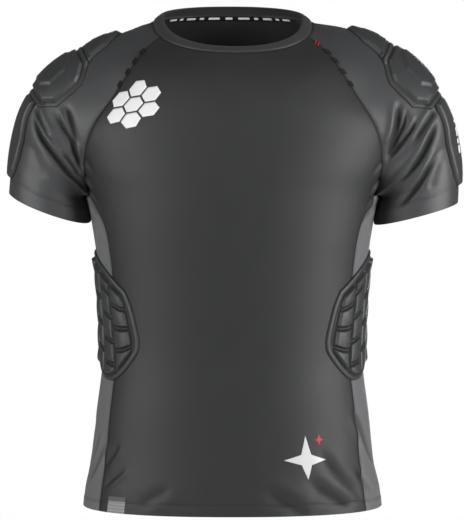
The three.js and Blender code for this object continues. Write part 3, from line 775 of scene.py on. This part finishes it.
def thread(name, colour, roughness=0.5):
    """Sewing thread with a fine twist."""
    n = Nodes(name)
    place = n.add("ShaderNodeTexCoord").outputs["Object"]
    twist = n.add("ShaderNodeTexWave", {"Vector": place, "Scale": 900.0, "Distortion": 1.0},
                  wave_type="BANDS", bands_direction="DIAGONAL").outputs["Fac"]
    n.set(Base_Color=n.colours(twist, shaded(colour, 0.7), colour), Roughness=roughness,
          Normal=n.bump(0.4, 0.0001, twist), Specular_IOR_Level=0.3)
    return n.material


def ink(name, colour, roughness=0.45):
    """Rubbery print on knit: the loops show faintly through it."""
    n = Nodes(name)
    flat = n.places()[0]
    grain = n.noise(flat, 9.0, 3.0, 0.6)
    ribs = n.add("ShaderNodeTexWave", {"Vector": flat, "Scale": 2.2, "Distortion": 0.6}).outputs["Fac"]
    height = n.sum("ADD", grain, n.times(ribs, 0.6))
    rough = n.sum("MULTIPLY_ADD", grain, 0.2, roughness - 0.1)
    n.set(Base_Color=n.colours(grain, shaded(colour, 0.88), colour), Roughness=rough,
          Normal=n.bump(0.3, 0.0001, height))
    return n.material


STRIPE_PITCH = 0.42


def woven(name, colour, pitch, contrast=0.35, stripe=None, sheen=0.15):
    """Plain weave, or with a stripe colour, rows of short lines."""
    n = Nodes(name)
    flat, across, down = n.places()
    turn = 2 * math.pi / pitch
    cross = n.times(n.wave(across, turn), n.wave(down, turn))
    tone = n.sum("MULTIPLY_ADD", cross, contrast, n.noise(flat, 12.0, 2.0))
    paint = n.colours(tone, shaded(colour, 0.7), colour)
    if stripe:
        rows = n.sum("GREATER_THAN", n.wave(down, 2 * math.pi / STRIPE_PITCH), 0.55)
        paint = n.colours(n.times(rows, 0.6), paint, stripe)
    n.set(Base_Color=paint, Roughness=0.8, Normal=n.bump(0.5, 0.0002, cross), Sheen_Weight=sheen,
          Specular_IOR_Level=0.25)
    return n.material


BODY_CLOTH = knit("body_knit", (0.0205, 0.021, 0.022), painted_shade=0.7, sheen=0.03, roughness=0.46,
                  specular=0.35)
SLEEVE_CLOTH = knit("sleeve_knit", (0.042, 0.043, 0.045), painted_shade=0.92, sheen=0.03, roughness=0.42,
                    specular=0.47)
SIDE_CLOTH = knit("side_mesh", (0.13, 0.131, 0.135), pitch=0.09, open_knit=0.55, painted_shade=0.6, sheen=0.06)
BAND_CLOTH = knit("band_rib", (0.035, 0.0355, 0.037), pitch=0.11, sheen=0.06, roughness=0.5)
PAD_CLOTH = knit("pad_cover", (0.033, 0.034, 0.0355), pitch=0.07, painted_shade=0.95, sheen=0.03,
                 roughness=0.4, specular=0.5)
TAPE_CLOTH = woven("neck_tape_weave", (0.006, 0.006, 0.0065), 0.08, sheen=0.02)
LABEL_CLOTH = woven("label_weave", (0.36, 0.365, 0.37), 0.07, stripe=(0.16, 0.162, 0.166))
LABEL_FOLD = woven("label_fold_weave", (0.13, 0.132, 0.135), 0.07)
DARK_THREAD = thread("dark_thread", (0.012, 0.012, 0.013), 0.75)
CLOTH_THREAD = thread("cloth_thread", (0.03, 0.031, 0.033), 0.6)
RED_THREAD = thread("red_thread", (0.55, 0.03, 0.055))
WHITE_INK = ink("white_print", (0.86, 0.86, 0.86))
SILVER_INK = ink("silver_print", (0.62, 0.62, 0.62), 0.35)
RED_INK = ink("red_print", (0.42, 0.01, 0.035))


# Cloth pieces. The sizes, down and across, are about those of a piece and set its grid lines.
PANEL_SIZE = (690, 400)
SIDE_PANEL_SIZE = (435, 120)
SLEEVE_SIZE = (330, 340)


def panel(name, level, angle, seams):
    """A body piece over a grid of levels and angles."""
    base, normal = on_body(angle, level)
    relief = body_relief(base, normal, level) + seam_relief(base, seams)
    outer = base + normal * relief[..., None]
    # values: painted shade, darker in the deep creases
    return shell(name, outer, outer - normal * CLOTH_WALL, values=shade_of(relief))


def grid_lines(size, step):
    """Grid lines down and across a piece, as shares of its size."""
    return [lines_over(length, step) for length in size]


def body_panel(word, face):
    down, across = grid_lines(PANEL_SIZE, BODY_STEP)
    level, share = grid_of(NECK_LEVEL * down, 2 * across - 1)
    seam = seam_from_front(level, 1) if face > 0 else math.pi - seam_from_front(level, -1)
    angle = (0 if face > 0 else math.pi) + share * seam
    return panel(f"{word}_cloth", level, angle, [f"{word}_right", f"{word}_left", "neck"])


def side_panel(arm):
    down, across = grid_lines(SIDE_PANEL_SIZE, BODY_STEP)
    level, share = grid_of(ARMPIT_LEVEL * down, across)
    angle = arm["side"] * mix(seam_from_front(level, 1), seam_from_front(level, -1), share)
    seams = [f"{word}_{arm['name']}" for word in ("front", "back", "gusset")]
    return panel(f"side_panel_{arm['name']}_cloth", level, angle, seams)


def sleeve(arm):
    down, across = grid_lines(SLEEVE_SIZE, SLEEVE_STEP)
    place, round_ = grid_of(CUFF_PLACE * down, 2 * across - 1)
    folded, normal = folded_sleeve(arm, place, round_)
    depth = ((folded - sleeve_point(arm, place, round_)) * normal).sum(-1)
    seams = [f"{word}_{arm['name']}" for word in ("front", "back", "gusset", "underarm")] + ["neck"]
    outer = folded + normal * seam_relief(folded, seams)[..., None]
    # Painted shade, in the deep creases and under the arm
    shade = np.maximum(shade_of(depth), underarm_shade(place, round_))
    return shell(f"sleeve_{arm['name']}_cloth", outer, outer - normal * CLOTH_WALL, values=shade)


def band_point(angle, share):
    angle, share = np.broadcast_arrays(np.asarray(angle, float), np.asarray(share, float))
    top = ring_point({name: np.full_like(angle, BAND_TOP[name]) for name in RING_COLUMNS}, angle)
    return mix(body_point(angle, NECK_LEVEL), top, share[..., None])


BAND_LINES = (0, 0.06, 0.13, 0.25, 0.4, 0.55, 0.7, 0.82, 0.92, 1)
BAND_BULGE = 1.7
BAND_DIP = 0.6


def neckband():
    share, angle = grid_of(BAND_LINES, np.linspace(0, 2 * math.pi, 361)[:-1])
    base = band_point(angle, share)
    normal = normal_of(band_point, angle, np.clip(share, 0.02, 0.98))
    bulge = BAND_BULGE * (4 * share * (1 - share)) ** 0.6 - BAND_DIP * bell(share, 0.08)
    outer = base + normal * bulge[..., None]
    return shell("neckband_cloth", outer, outer - normal * BAND_WALL, closed=True, roundness=0.5)


TAPE_LEVELS = (11.83, 11.98)
TAPE_REACH = 46 * DEGREES
TAPE_GAP = 0.4


def neck_tape():
    angles = np.linspace(math.pi - TAPE_REACH, math.pi + TAPE_REACH, 90)
    level, angle = grid_of(np.linspace(*TAPE_LEVELS, 7), angles)
    base, normal = on_body(angle, level)
    outer = base - normal * (CLOTH_WALL + TAPE_GAP)
    return shell("neck_tape_cloth", outer, outer - normal * TAPE_WALL)


LABEL_LEVELS = (-0.02, 0.8)
LABEL_ANGLES = (-52.4, -42.0)
LABEL_GAP = 0.25


def hem_label():
    level, angle = grid_of(np.linspace(*LABEL_LEVELS, 15), np.linspace(*LABEL_ANGLES, 14) * DEGREES)
    base, normal = folded_body(angle, np.maximum(level, 0))
    inner = base + normal * LABEL_GAP
    made = shell("hem_label_cloth", inner + normal * LABEL_WALL, inner)
    for material in (LABEL_CLOTH, LABEL_FOLD):
        made.data.materials.append(material)
    fold_z = (inner[-4, 0, 2] + inner[-4, -1, 2]) / 2 * MM
    for polygon in made.data.polygons:
        if polygon.center.z > fold_z:
            polygon.material_index = 1
    return made


# Pads
def signed_distance(flat_points, corners):
    """Distance in a flat chart from the outline of a polygon, above 0 inside it."""
    x, y = flat_points[..., 0], flat_points[..., 1]
    inside = np.zeros(x.shape, bool)
    for a, b in zip(corners, np.roll(corners, -1, 0)):
        crosses = (a[1] > y) != (b[1] > y)
        rise = b[1] - a[1] if abs(b[1] - a[1]) > 1e-9 else 1e-9
        inside ^= crosses & (x < a[0] + (y - a[1]) * (b[0] - a[0]) / rise)
    distance = distance_to(flat_points, looped(corners))
    return np.where(inside, distance, -distance)


def edge_distance(grid):
    """How far each point of a grid lies from the grid's outline."""
    i, j = np.array(perimeter(*grid.shape[:2])).T
    return distance_to(grid, looped(grid[i, j]))


# An outline's front and back are shares of the way round the sleeve. flange is how wide the flat rim
# is, lip how wide the slope inside it and face how high. joints are the heights at which the two ends
# butt against the next pad. crown is the height of the plateau, which has its own outline.
SHOULDER_PADS = {
    "upper": dict(
        outline=table(("place", "front", "back"), (0.85, 0.14, 0.14), (1.0, 0.24, 0.24), (1.3, 0.37, 0.36),
                      (1.5, 0.39, 0.38), (1.75, 0.41, 0.4), (1.875, 0.45, 0.42)),
        flange=0.0, lip=6.0, face=4.0, joints=(0, 4.6), crown=1.0,
        plateau=[(1.2, 0.15), (1.2, -0.15), (1.62, -0.22), (1.62, 0.24)],
    ),
    "middle": dict(
        outline=table(("place", "front", "back"), (1.888, 0.44, 0.42), (2.2, 0.575, 0.55),
                      (2.4, 0.62, 0.59), (2.8, 0.62, 0.59), (3.3, 0.6, 0.57), (3.745, 0.43, 0.42)),
        flange=6.6, lip=4.5, face=4.6, joints=(4.6, 3.6), crown=2.2,
        plateau=[(2.3, 0.25), (2.55, 0.37), (3.1, 0.38), (3.36, 0.27), (3.36, -0.25), (3.1, -0.36),
                 (2.55, -0.35), (2.3, -0.23)],
    ),
    "lower": dict(
        outline=table(("place", "front", "back"), (3.758, 0.35, 0.34), (4.3, 0.3, 0.3), (4.8, 0.28, 0.28),
                      (5.6, 0.23, 0.23), (6.0, 0.18, 0.18), (6.4, 0.11, 0.11)),
        flange=0.0, lip=4.2, face=3.6, joints=(3.6, 0), crown=0.0, plateau=None,
    ),
}
PAD_GRID = {"upper": (54, 72), "middle": (84, 108), "lower": (84, 56)}
PAD_STEP = 1.6
# Millimetres for each unit of place and of share, near enough for the plateau
CHART = np.array([50.0, 150.0])
JOINT_REACH = 11.0
COVER_FOOT = 0.2
COVER_SKIN = 0.3
GROOVE_WIDTH = 1.1


def pad_cover(node, base, normal, folds, height, low):
    """The cover of a pad, by its height over the cloth's folds and low, the painted shade in its grooves
    and along its edges.
    """
    outer = base + normal * (COVER_SKIN + folds + height)[..., None]
    inner = base + normal * (COVER_FOOT + folds)[..., None]
    made = shell(f"{node}_cover", outer, inner, values=np.clip(low, 0, 1), roundness=0.3)
    dress(made, node, PAD_CLOTH)


def shoulder_pad(arm, name):
    pad = SHOULDER_PADS[name]
    outline = pad["outline"]
    down, across = grid_of(*(lines_over(lines * PAD_STEP, PAD_STEP) for lines in PAD_GRID[name]))
    place = mix(outline["place"][0], outline["place"][-1], down)
    front = np.interp(place, outline["place"], outline["front"])
    back = np.interp(place, outline["place"], outline["back"])
    round_ = mix(front, -back, across)
    base, normal = on_sleeve(arm, place, round_)
    inset = edge_distance(base)
    folds = crease_relief(base, normal, CREASES[arm["name"]]) * (1 - smooth(inset / 10))

    flange, rise = pad["flange"], smooth((inset - pad["flange"]) / pad["lip"])
    dome = 1.4 * (1 - np.exp(-np.maximum(inset - flange, 0) / 16))
    height = 0.6 + 1.2 * smooth(inset / 1.6) + (pad["face"] + dome) * rise
    # low: painted shade along the pad's outline, in the valley inside the flange and round the plateau
    low = 0.9 * bell(inset, 0.9)
    if flange:
        valley = bell(inset - flange, GROOVE_WIDTH)
        height = height - 0.9 * valley - 0.35 * bell(inset - 2.6, 0.7)
        low = low + 0.8 * valley
    if pad["plateau"]:
        spots = np.stack([place, round_], -1) * CHART
        depth = signed_distance(spots, np.array(pad["plateau"]) * CHART)
        height = height + pad["crown"] * smooth((depth + 2.6) / 5.2)
        low = low + 0.3 * bell(depth + 2.6, GROOVE_WIDTH)
    width = np.linalg.norm(np.diff(base, axis=1), axis=-1).sum(1)[:, None]
    from_side = np.minimum(across, 1 - across) * width
    for end, joint in zip((0, -1), pad["joints"]):
        to_end = np.linalg.norm(base - base[end][None], axis=-1)
        butted = joint * (1 - smooth((to_end - 3) / JOINT_REACH)) * (0.85 + 0.15 * smooth(to_end / 1.5))
        height = np.maximum(height, 0.6 + butted * smooth(from_side / 2.4))
    pad_cover(f"shoulder_pad_{name}_{arm['name']}", base, normal, folds, height, low)


FLANK_TOP = table(("share", "level"), (0, 5.0), (0.12, 5.14), (0.3, 5.36), (0.55, 5.62), (0.8, 5.7),
                  (1, 5.5))
FLANK_BOTTOM = table(("share", "level"), (0, 3.98), (0.1, 3.72), (0.22, 3.58), (0.35, 3.6), (0.55, 3.78),
                     (0.8, 3.98), (1, 4.2))
FLANK_FRONT = table(("share", "angle"), (0, 48.5), (0.35, 45), (0.7, 41.5), (0.88, 41), (1, 44))
FLANK_BACK = table(("share", "angle"), (0, 116), (0.3, 124), (0.7, 124), (1, 116))
FLANK_SIZE = (200, 205)
FLANK_STEP = 1.4
FLANK_RIM = 8.0
FLANK_CORNERS = 0.14
BLOCKS_ACROSS = 6
BLOCKS_DOWN = 4
BLOCK_HEIGHT = 5.8
TIE_HEIGHT = 3.8
FLANK_MARGIN = 0.06


def block_relief(down, across, wide, tall):
    """Plain basket weave: columns of upright padded blocks, every other column half a block lower,
    with a narrow tie across each gap between two blocks. Gives height, and painted shade in the low spots
    between blocks."""
    column = (across - FLANK_MARGIN) / (1 - 2 * FLANK_MARGIN) * BLOCKS_ACROSS
    which = np.clip(np.floor(column), 0, BLOCKS_ACROSS - 1)
    sideways = column - which
    slant = 0.16 * (sideways - 0.5)
    row = (down - FLANK_MARGIN) / (1 - 2 * FLANK_MARGIN) * BLOCKS_DOWN + which % 2 / 2 + slant
    upright = row - np.floor(row)
    from_side = np.minimum(sideways, 1 - sideways) * wide / BLOCKS_ACROSS
    from_end = np.minimum(upright, 1 - upright) * tall / BLOCKS_DOWN
    block = smooth((from_side - 0.5) / 3.0) * smooth((from_end - 2.6) / 2.6)
    swell = 0.25 * np.sin(math.pi * sideways) * np.sin(math.pi * upright)
    tie = smooth((from_side - 1.2) / 2.0) * (1 - smooth((from_end - 0.8) / 1.2))
    height = np.maximum(BLOCK_HEIGHT * block * (0.85 + swell), TIE_HEIGHT * tie)
    return height, 1 - smooth(height / 2.0)


def rounded(down, across):
    """Pulls the corners of a square of shares inwards."""
    v, u = 2 * down - 1, 2 * across - 1
    v, u = v * np.sqrt(1 - FLANK_CORNERS * u**4), u * np.sqrt(1 - FLANK_CORNERS * v**4)
    return (v + 1) / 2, (u + 1) / 2


def softly(at, shares, values):
    """A value between the rows of a table, with the corners of its line rounded off."""
    return sum(np.interp(at + reach, shares, values) for reach in np.linspace(-0.05, 0.05, 9)) / 9


def flank_pad(arm):
    down, across = rounded(*grid_of(*grid_lines(FLANK_SIZE, FLANK_STEP)))
    top, bottom = (softly(across, edge["share"], edge["level"]) for edge in (FLANK_TOP, FLANK_BOTTOM))
    front, back = (softly(down, edge["share"], edge["angle"]) for edge in (FLANK_FRONT, FLANK_BACK))
    level, angle = mix(top, bottom, down), arm["side"] * DEGREES * mix(front, back, across)
    base, normal = on_body(angle, level)
    inset = edge_distance(base)
    wide = np.linalg.norm(np.diff(base, axis=1), axis=-1).sum(1)[:, None]
    tall = np.linalg.norm(np.diff(base, axis=0), axis=-1).sum(0)[None, :]
    blocks, low = block_relief(down, across, wide, tall)
    inside = smooth((inset - FLANK_RIM) / 3.2)
    cord = np.sin(math.pi * np.clip(inset / FLANK_RIM, 0, 1)) ** 0.6
    height = 0.5 + 2.5 * cord + inside * (0.8 + blocks)
    # Painted shade in the groove inside the rim and along the outline, joined to that between the blocks
    painted_shade = bell(inset - FLANK_RIM, GROOVE_WIDTH) + bell(inset, GROOVE_WIDTH)
    low = np.maximum(low * inside, painted_shade)
    pad_cover(f"flank_pad_{arm['name']}", base, normal, np.zeros_like(height), height, low)


# Sewing
def resample(points, normals, pitch, offset=0.0):
    """Places at an even pitch along a line, moved sideways by offset, with the ways along, across
    and out."""
    lengths = lengths_along(points)
    at = np.arange(pitch / 2, lengths[-1], pitch)
    out = unit(sample(at, lengths, normals))
    way = unit(sample(at + 0.5, lengths, points) - sample(at - 0.5, lengths, points))
    across = unit(np.cross(out, way))
    return sample(at, lengths, points) + across * offset, way, across, out


STITCH_SIDES = 5
STITCH_RINGS = ((-1, 0.25), (-0.55, 0.9), (0.55, 0.9), (1, 0.25))


def stitches(name, sets, material):
    """Short threads joined in one mesh. A set is (centres, long ways, wide ways, outs, half length,
    radius)."""
    vertices, faces = [], []
    start = 0
    turn = np.arange(STITCH_SIDES) * 2 * math.pi / STITCH_SIDES
    for centres, long_way, wide_way, out, half, radius in sets:
        rings = []
        for along_it, wide in STITCH_RINGS:
            arch = (1 - along_it**2) * radius * 0.7
            middle = centres + long_way * (along_it * half) + out * arch
            circle = (wide_way[:, None] * np.cos(turn)[None, :, None]
                      + out[:, None] * np.sin(turn)[None, :, None]) * (radius * wide)
            rings.append(middle[:, None] + circle)
        block = np.stack(rings, 1)
        count = len(centres)
        vertices.append(block.reshape(-1, 3))
        per = len(STITCH_RINGS) * STITCH_SIDES
        local = []
        for ring in range(len(STITCH_RINGS) - 1):
            for k in range(STITCH_SIDES):
                a, b = ring * STITCH_SIDES + k, ring * STITCH_SIDES + (k + 1) % STITCH_SIDES
                local.append((a, b, b + STITCH_SIDES, a + STITCH_SIDES))
        base = start + np.arange(count)[:, None, None] * per
        faces += (base + np.array(local)[None]).reshape(-1, 4).tolist()
        caps = [list(range(STITCH_SIDES))[::-1], list(range(per - STITCH_SIDES, per))]
        faces += (base + np.array(caps)[None]).reshape(-1, STITCH_SIDES).tolist()
        start += count * per
    made = new_object(name, np.concatenate(vertices), faces)
    return dress(made, None, material)


def settled(points, normals, creases, lift):
    """Moves a line onto the creased cloth."""
    relief = crease_relief(points, normals, creases)
    return points + normals * (relief + lift)[:, None]


def flatlock(name):
    """Slanted threads across a seam, and a row of short ones at each side."""
    points, normals = SEAMS[name]
    points = settled(points, normals, CREASES["body"], -SEAM_DIP + 0.15)
    centre, way, across, out = resample(points, normals, 2.1)
    sets = [(centre, unit(across + way * 0.45), unit(way - across * 0.45), out, 1.7, 0.24)]
    for side in (-1, 1):
        centre, way, across, out = resample(points, normals, 2.8, side * 2.3)
        sets.append((centre + out * 0.25, way, across, out, 1.05, 0.22))
    return sets


HEM_ROWS = (0.5, 0.59)
CUFF_ROWS = (6.36, 6.44)
NECK_ROWS = ((11.93, 0.05), (11.97, 0.0))


def hem_rows():
    """Two rows of stitches above the hem and two above each cuff."""
    sets = []
    angles = np.linspace(-math.pi, math.pi, 721)
    for level in HEM_ROWS:
        points, normals = folded_body(angles, np.full_like(angles, level))
        centre, way, across, out = resample(points, normals, 3.3)
        sets.append((centre + out * 0.05, way, across, out, 1.2, 0.24))
    rounds = np.linspace(-0.995, 0.995, 300)
    for arm in ARMS:
        for place in CUFF_ROWS:
            points, normals = folded_sleeve(arm, np.full_like(rounds, place), rounds)
            centre, way, across, out = resample(points, normals, 3.1)
            sets.append((centre + out * 0.05, way, across, out, 1.15, 0.23))
    return sets


def neck_rows():
    around = np.linspace(0, 2 * math.pi, 721)
    sets = []
    for level, lift in NECK_ROWS:
        points, normals = on_body(around, level)
        centre, way, across, out = resample(points, normals, 2.7)
        sets.append((centre + out * lift, way, across, out, 1.05, 0.22))
    return sets


def bar_tack(points, normals, below, length, count, half, radius, slant):
    """A short block of threads across a seam, count of them over a length, below the seam's end."""
    lengths = lengths_along(points)
    spots = lengths[-1] - below + np.linspace(-length / 2, length / 2, count)
    centre = sample(spots, lengths, points)
    out = unit(sample(spots, lengths, normals))
    way = unit(sample(spots + 1, lengths, points) - centre)
    long_way = unit(unit(np.cross(out, way)) + way * slant)
    return centre + out * 0.45, long_way, unit(np.cross(out, long_way)), out, half, radius


# The tacks' distances below the neck seam, with the lengths of the dark ones
DARK_TACKS = ((38, 9), (56, 9), (75, 8), (95, 8))
RED_TACKS = (15, 20)


def raglan_tacks():
    """Tonal bar tacks down each raglan seam, and two red ones near the neck at the wearer's left."""
    dark, red = [], []
    for name in ("front_right", "front_left", "back_right", "back_left"):
        points, normals = SEAMS[name]
        for below, size in DARK_TACKS:
            dark.append(bar_tack(points, normals, below, size, 13, 4.4, 0.5, 0.5))
    points, normals = SEAMS["front_left"]
    for below in RED_TACKS:
        red.append(bar_tack(points, normals, below, 1.6, 4, 5.4, 0.42, -0.75))
    return dark, red


# Prints and small marks: flat shapes laid on the cloth
PRINT_TOP = 0.32
PRINT_FOOT = 0.02
DASH_WALL = 0.14


def on_front(centre, turn):
    """A function that lays flat points, in millimetres round a centre, on the front's cloth."""
    angle0, level0 = centre[0] * DEGREES, centre[1]
    step = 0.02
    here = body_point(angle0, level0)
    per_angle = np.linalg.norm(body_point(angle0 + step, level0) - here) / step
    per_level = np.linalg.norm(body_point(angle0, level0 + step) - here) / step
    c, s = math.cos(turn * DEGREES), math.sin(turn * DEGREES)

    def lay(flat, lift):
        x, z = flat[..., 0] * c - flat[..., 1] * s, flat[..., 0] * s + flat[..., 1] * c
        return folded_body(angle0 + x / per_angle, level0 + z / per_level, lift)[0]

    return lay


def print_shape(name, corners, lay, material, rings=5):
    """A filled shape, laid by a function, from rings between its middle and its outline."""
    corners = np.array(corners, float)
    middle = corners.mean(0)
    dense = []
    for a, b in zip(corners, np.roll(corners, -1, 0)):
        count = max(2, int(np.linalg.norm(b - a) / 2.5))
        dense += [mix(a, b, f) for f in np.arange(count) / count]
    outline = np.array(dense)
    shares = np.linspace(0, 1, rings + 1)[1:]
    flat = np.concatenate([[middle], *[mix(middle, outline, s) for s in shares]])
    count = len(outline)
    faces = []
    for k in range(count):
        after = (k + 1) % count
        faces.append([0, 1 + k, 1 + after])
        for ring in range(rings - 1):
            a, b = 1 + ring * count, 1 + (ring + 1) * count
            faces.append([a + k, b + k, b + after, a + after])
    total = len(flat)
    under = [[total + v for v in face[::-1]] for face in faces]
    last = 1 + (rings - 1) * count
    wall = []
    for k in range(count):
        a, b = last + k, last + (k + 1) % count
        wall.append([a, total + a, total + b, b])
    vertices = np.concatenate([lay(flat, PRINT_TOP), lay(flat, PRINT_FOOT)])
    made = new_object(name, vertices, faces + under + wall, np.concatenate([flat, flat]) / 10)
    dress(made, None, material)


def hexagon(radius, start):
    """The corners of a hexagon round 0, the first at start degrees."""
    turns = (np.arange(6) * 60 + start) * DEGREES
    return np.stack([radius * np.cos(turns), radius * np.sin(turns)], -1)


def star(radius, waist, points):
    turns = np.arange(2 * points) * math.pi / points + math.pi / 2
    sizes = np.array([radius, waist] * points)
    return np.stack([sizes * np.cos(turns), sizes * np.sin(turns)], -1)


def chest_print():
    """A cluster of seven white hexagons."""
    lay = on_front((-38, 9.75), -14)
    pitch, radius = 25.0, 12.9
    for k, centre in enumerate([np.zeros(2), *hexagon(pitch, 0)]):
        print_shape(f"chest_hexagon_{k}", centre + hexagon(radius, 30), lay, WHITE_INK)


def hem_print():
    """A silver star with a small red one beside it."""
    lay = on_front((27.5, 2.05), 0)
    print_shape("hem_star", star(30, 10, 4), lay, SILVER_INK, rings=8)

    def beside(flat, lift):
        return lay(flat + np.array([20.0, 25.0]), lift)

    print_shape("hem_star_small", star(8, 2.8, 4), beside, RED_INK, rings=3)


def tape_dashes():
    """Plain white dashes along the neck tape."""
    middle, length = 11.905, 0.075
    for k in range(-5, 6):
        half = 2.2 if k % 2 == 0 else 5.2
        centre = math.pi - k * 8.6 * DEGREES
        flat = np.linspace(-half, half, 9)
        angles = centre + flat / 82
        levels = np.linspace(middle - length / 2, middle + length / 2, 4)
        level, angle = grid_of(levels, angles)
        base, normal = on_body(angle, level)
        outer = base - normal * (CLOTH_WALL + TAPE_GAP + TAPE_WALL - PRINT_FOOT)
        made = shell(f"tape_dash_{k + 5}", outer, outer - normal * DASH_WALL)
        dress(made, None, WHITE_INK)


BARS = ((4.42, 4.5), (4.62, 4.86), (4.93, 5.08), (5.15, 5.4))
BAR_SIDES = (0.1, 0.135)
BAR_LIFT = 7.0
BAR_WALL = 0.3


def sleeve_bars():
    """Short plain white bars down the wearer's left lower pad."""
    arm = ARMS[1]
    for k, (start, end) in enumerate(BARS):
        place, round_ = grid_of(np.linspace(start, end, 8), np.linspace(*BAR_SIDES, 4))
        base, normal = on_sleeve(arm, place, round_)
        inner = base + normal * BAR_LIFT
        made = shell(f"sleeve_bar_{k}", inner + normal * BAR_WALL, inner)
        dress(made, None, WHITE_INK)


def dress_shirt():
    front = dress(body_panel("front", 1), "front", BODY_CLOTH)
    back = dress(body_panel("back", -1), "back", BODY_CLOTH)
    for arm in ARMS:
        side = dress(side_panel(arm), f"side_panel_{arm['name']}", SIDE_CLOTH)
        piece = dress(sleeve(arm), f"sleeve_{arm['name']}", SLEEVE_CLOTH)
        for name in SHOULDER_PADS:
            shoulder_pad(arm, name)
        flank_pad(arm)
    band = dress(neckband(), "neckband", BAND_CLOTH)
    tape = dress(neck_tape(), "neck_tape", TAPE_CLOTH)
    label = hem_label()
    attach(label, "root")
    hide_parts("hem_label")


def sew_shirt():
    seams = []
    for name in SEAMS:
        if name != "neck":
            seams += flatlock(name)
    stitches("seam_threads", seams, DARK_THREAD)
    stitches("hem_threads", hem_rows() + neck_rows(), CLOTH_THREAD)
    dark, red = raglan_tacks()
    stitches("raglan_tacks", dark, DARK_THREAD)
    stitches("red_tack", red, RED_THREAD)
    chest_print()
    hem_print()
    tape_dashes()
    sleeve_bars()


# The studio
FLOOR_Z = -1.40
FLOOR_REACH = 5000
FLOOR_CORNERS = ((-1, -1), (1, -1), (1, 1), (-1, 1))
ROOM_LIGHT = 0.12
CAMERA_PLACE = (-0.0007, -3.0, -0.3388)
CAMERA_LENS = 148.35


def area_light(name, place, target, size, energy):
    data = bpy.data.lights.new(name, "AREA")
    data.shape = "RECTANGLE"
    data.size, data.size_y = size
    data.energy = energy
    made = bpy.data.objects.new(name, data)
    made.location = place
    made.rotation_euler = (Vector(target) - Vector(place)).to_track_quat("-Z", "Y").to_euler()
    bpy.context.scene.collection.objects.link(made)


def paper_floor():
    """A floor that looks pale to the camera and is plain paint to the light."""
    n = Nodes("floor_paint")
    grain = n.add("ShaderNodeTexNoise", {"Scale": 3.0}).outputs["Fac"]
    n.set(Base_Color=n.colours(grain, (0.86, 0.86, 0.86), (0.9, 0.9, 0.9)), Roughness=0.8)
    glow = n.add("ShaderNodeEmission", {"Color": (0.94, 0.94, 0.94, 1), "Strength": 1.0}).outputs[0]
    seen = n.add("ShaderNodeLightPath").outputs["Is Camera Ray"]
    either = n.add("ShaderNodeMixShader", {0: seen, 1: n.shader.outputs[0], 2: glow})
    n.tree.links.new(either.outputs[0], n.tree.nodes["Material Output"].inputs[0])
    corners = [(x * FLOOR_REACH, y * FLOOR_REACH, FLOOR_Z / MM) for x, y in FLOOR_CORNERS]
    floor = new_object("floor", corners, [[0, 1, 2, 3]])
    floor.data.materials.append(n.material)


def backdrop_and_room():
    """A white backdrop to the camera, and a dim room to the shirt."""
    world = bpy.data.worlds.new("studio_world")
    world.use_nodes = True
    bpy.context.scene.world = world
    nodes, links = world.node_tree.nodes, world.node_tree.links
    room = nodes["Background"]
    room.inputs[0].default_value = (1, 1, 1, 1)
    room.inputs[1].default_value = ROOM_LIGHT
    backdrop = nodes.new("ShaderNodeBackground")
    backdrop.inputs[0].default_value = (1, 1, 1, 1)
    backdrop.inputs[1].default_value = 1.0
    rays = nodes.new("ShaderNodeLightPath")
    choice = nodes.new("ShaderNodeMixShader")
    links.new(rays.outputs["Is Camera Ray"], choice.inputs[0])
    links.new(room.outputs[0], choice.inputs[1])
    links.new(backdrop.outputs[0], choice.inputs[2])
    links.new(choice.outputs[0], nodes["World Output"].inputs[0])


def studio():
    bpy.context.scene.view_settings.view_transform = "Standard"
    paper_floor()
    backdrop_and_room()
    area_light("left_softbox", (-1.9, -1.5, 0.1), (0, 0, -0.36), (0.8, 1.5), 38)
    area_light("right_softbox", (2.0, -1.2, 0.0), (0, 0, -0.36), (0.8, 1.5), 56)
    area_light("front_fill", (-0.2, -2.8, 0.9), (0, 0, -0.25), (1.2, 1.2), 8)
    area_light("back_softbox", (0.3, 2.6, 0.0), (0, 0, -0.35), (1.6, 1.6), 42)

    camera = bpy.data.objects.new("camera", bpy.data.cameras.new("camera"))
    camera.location = CAMERA_PLACE
    camera.rotation_euler = (math.pi / 2, 0, 0)
    camera.data.lens = CAMERA_LENS
    bpy.context.scene.collection.objects.link(camera)
    bpy.context.scene.camera = camera


dress_shirt()
sew_shirt()
studio()
bpy.context.view_layer.update()
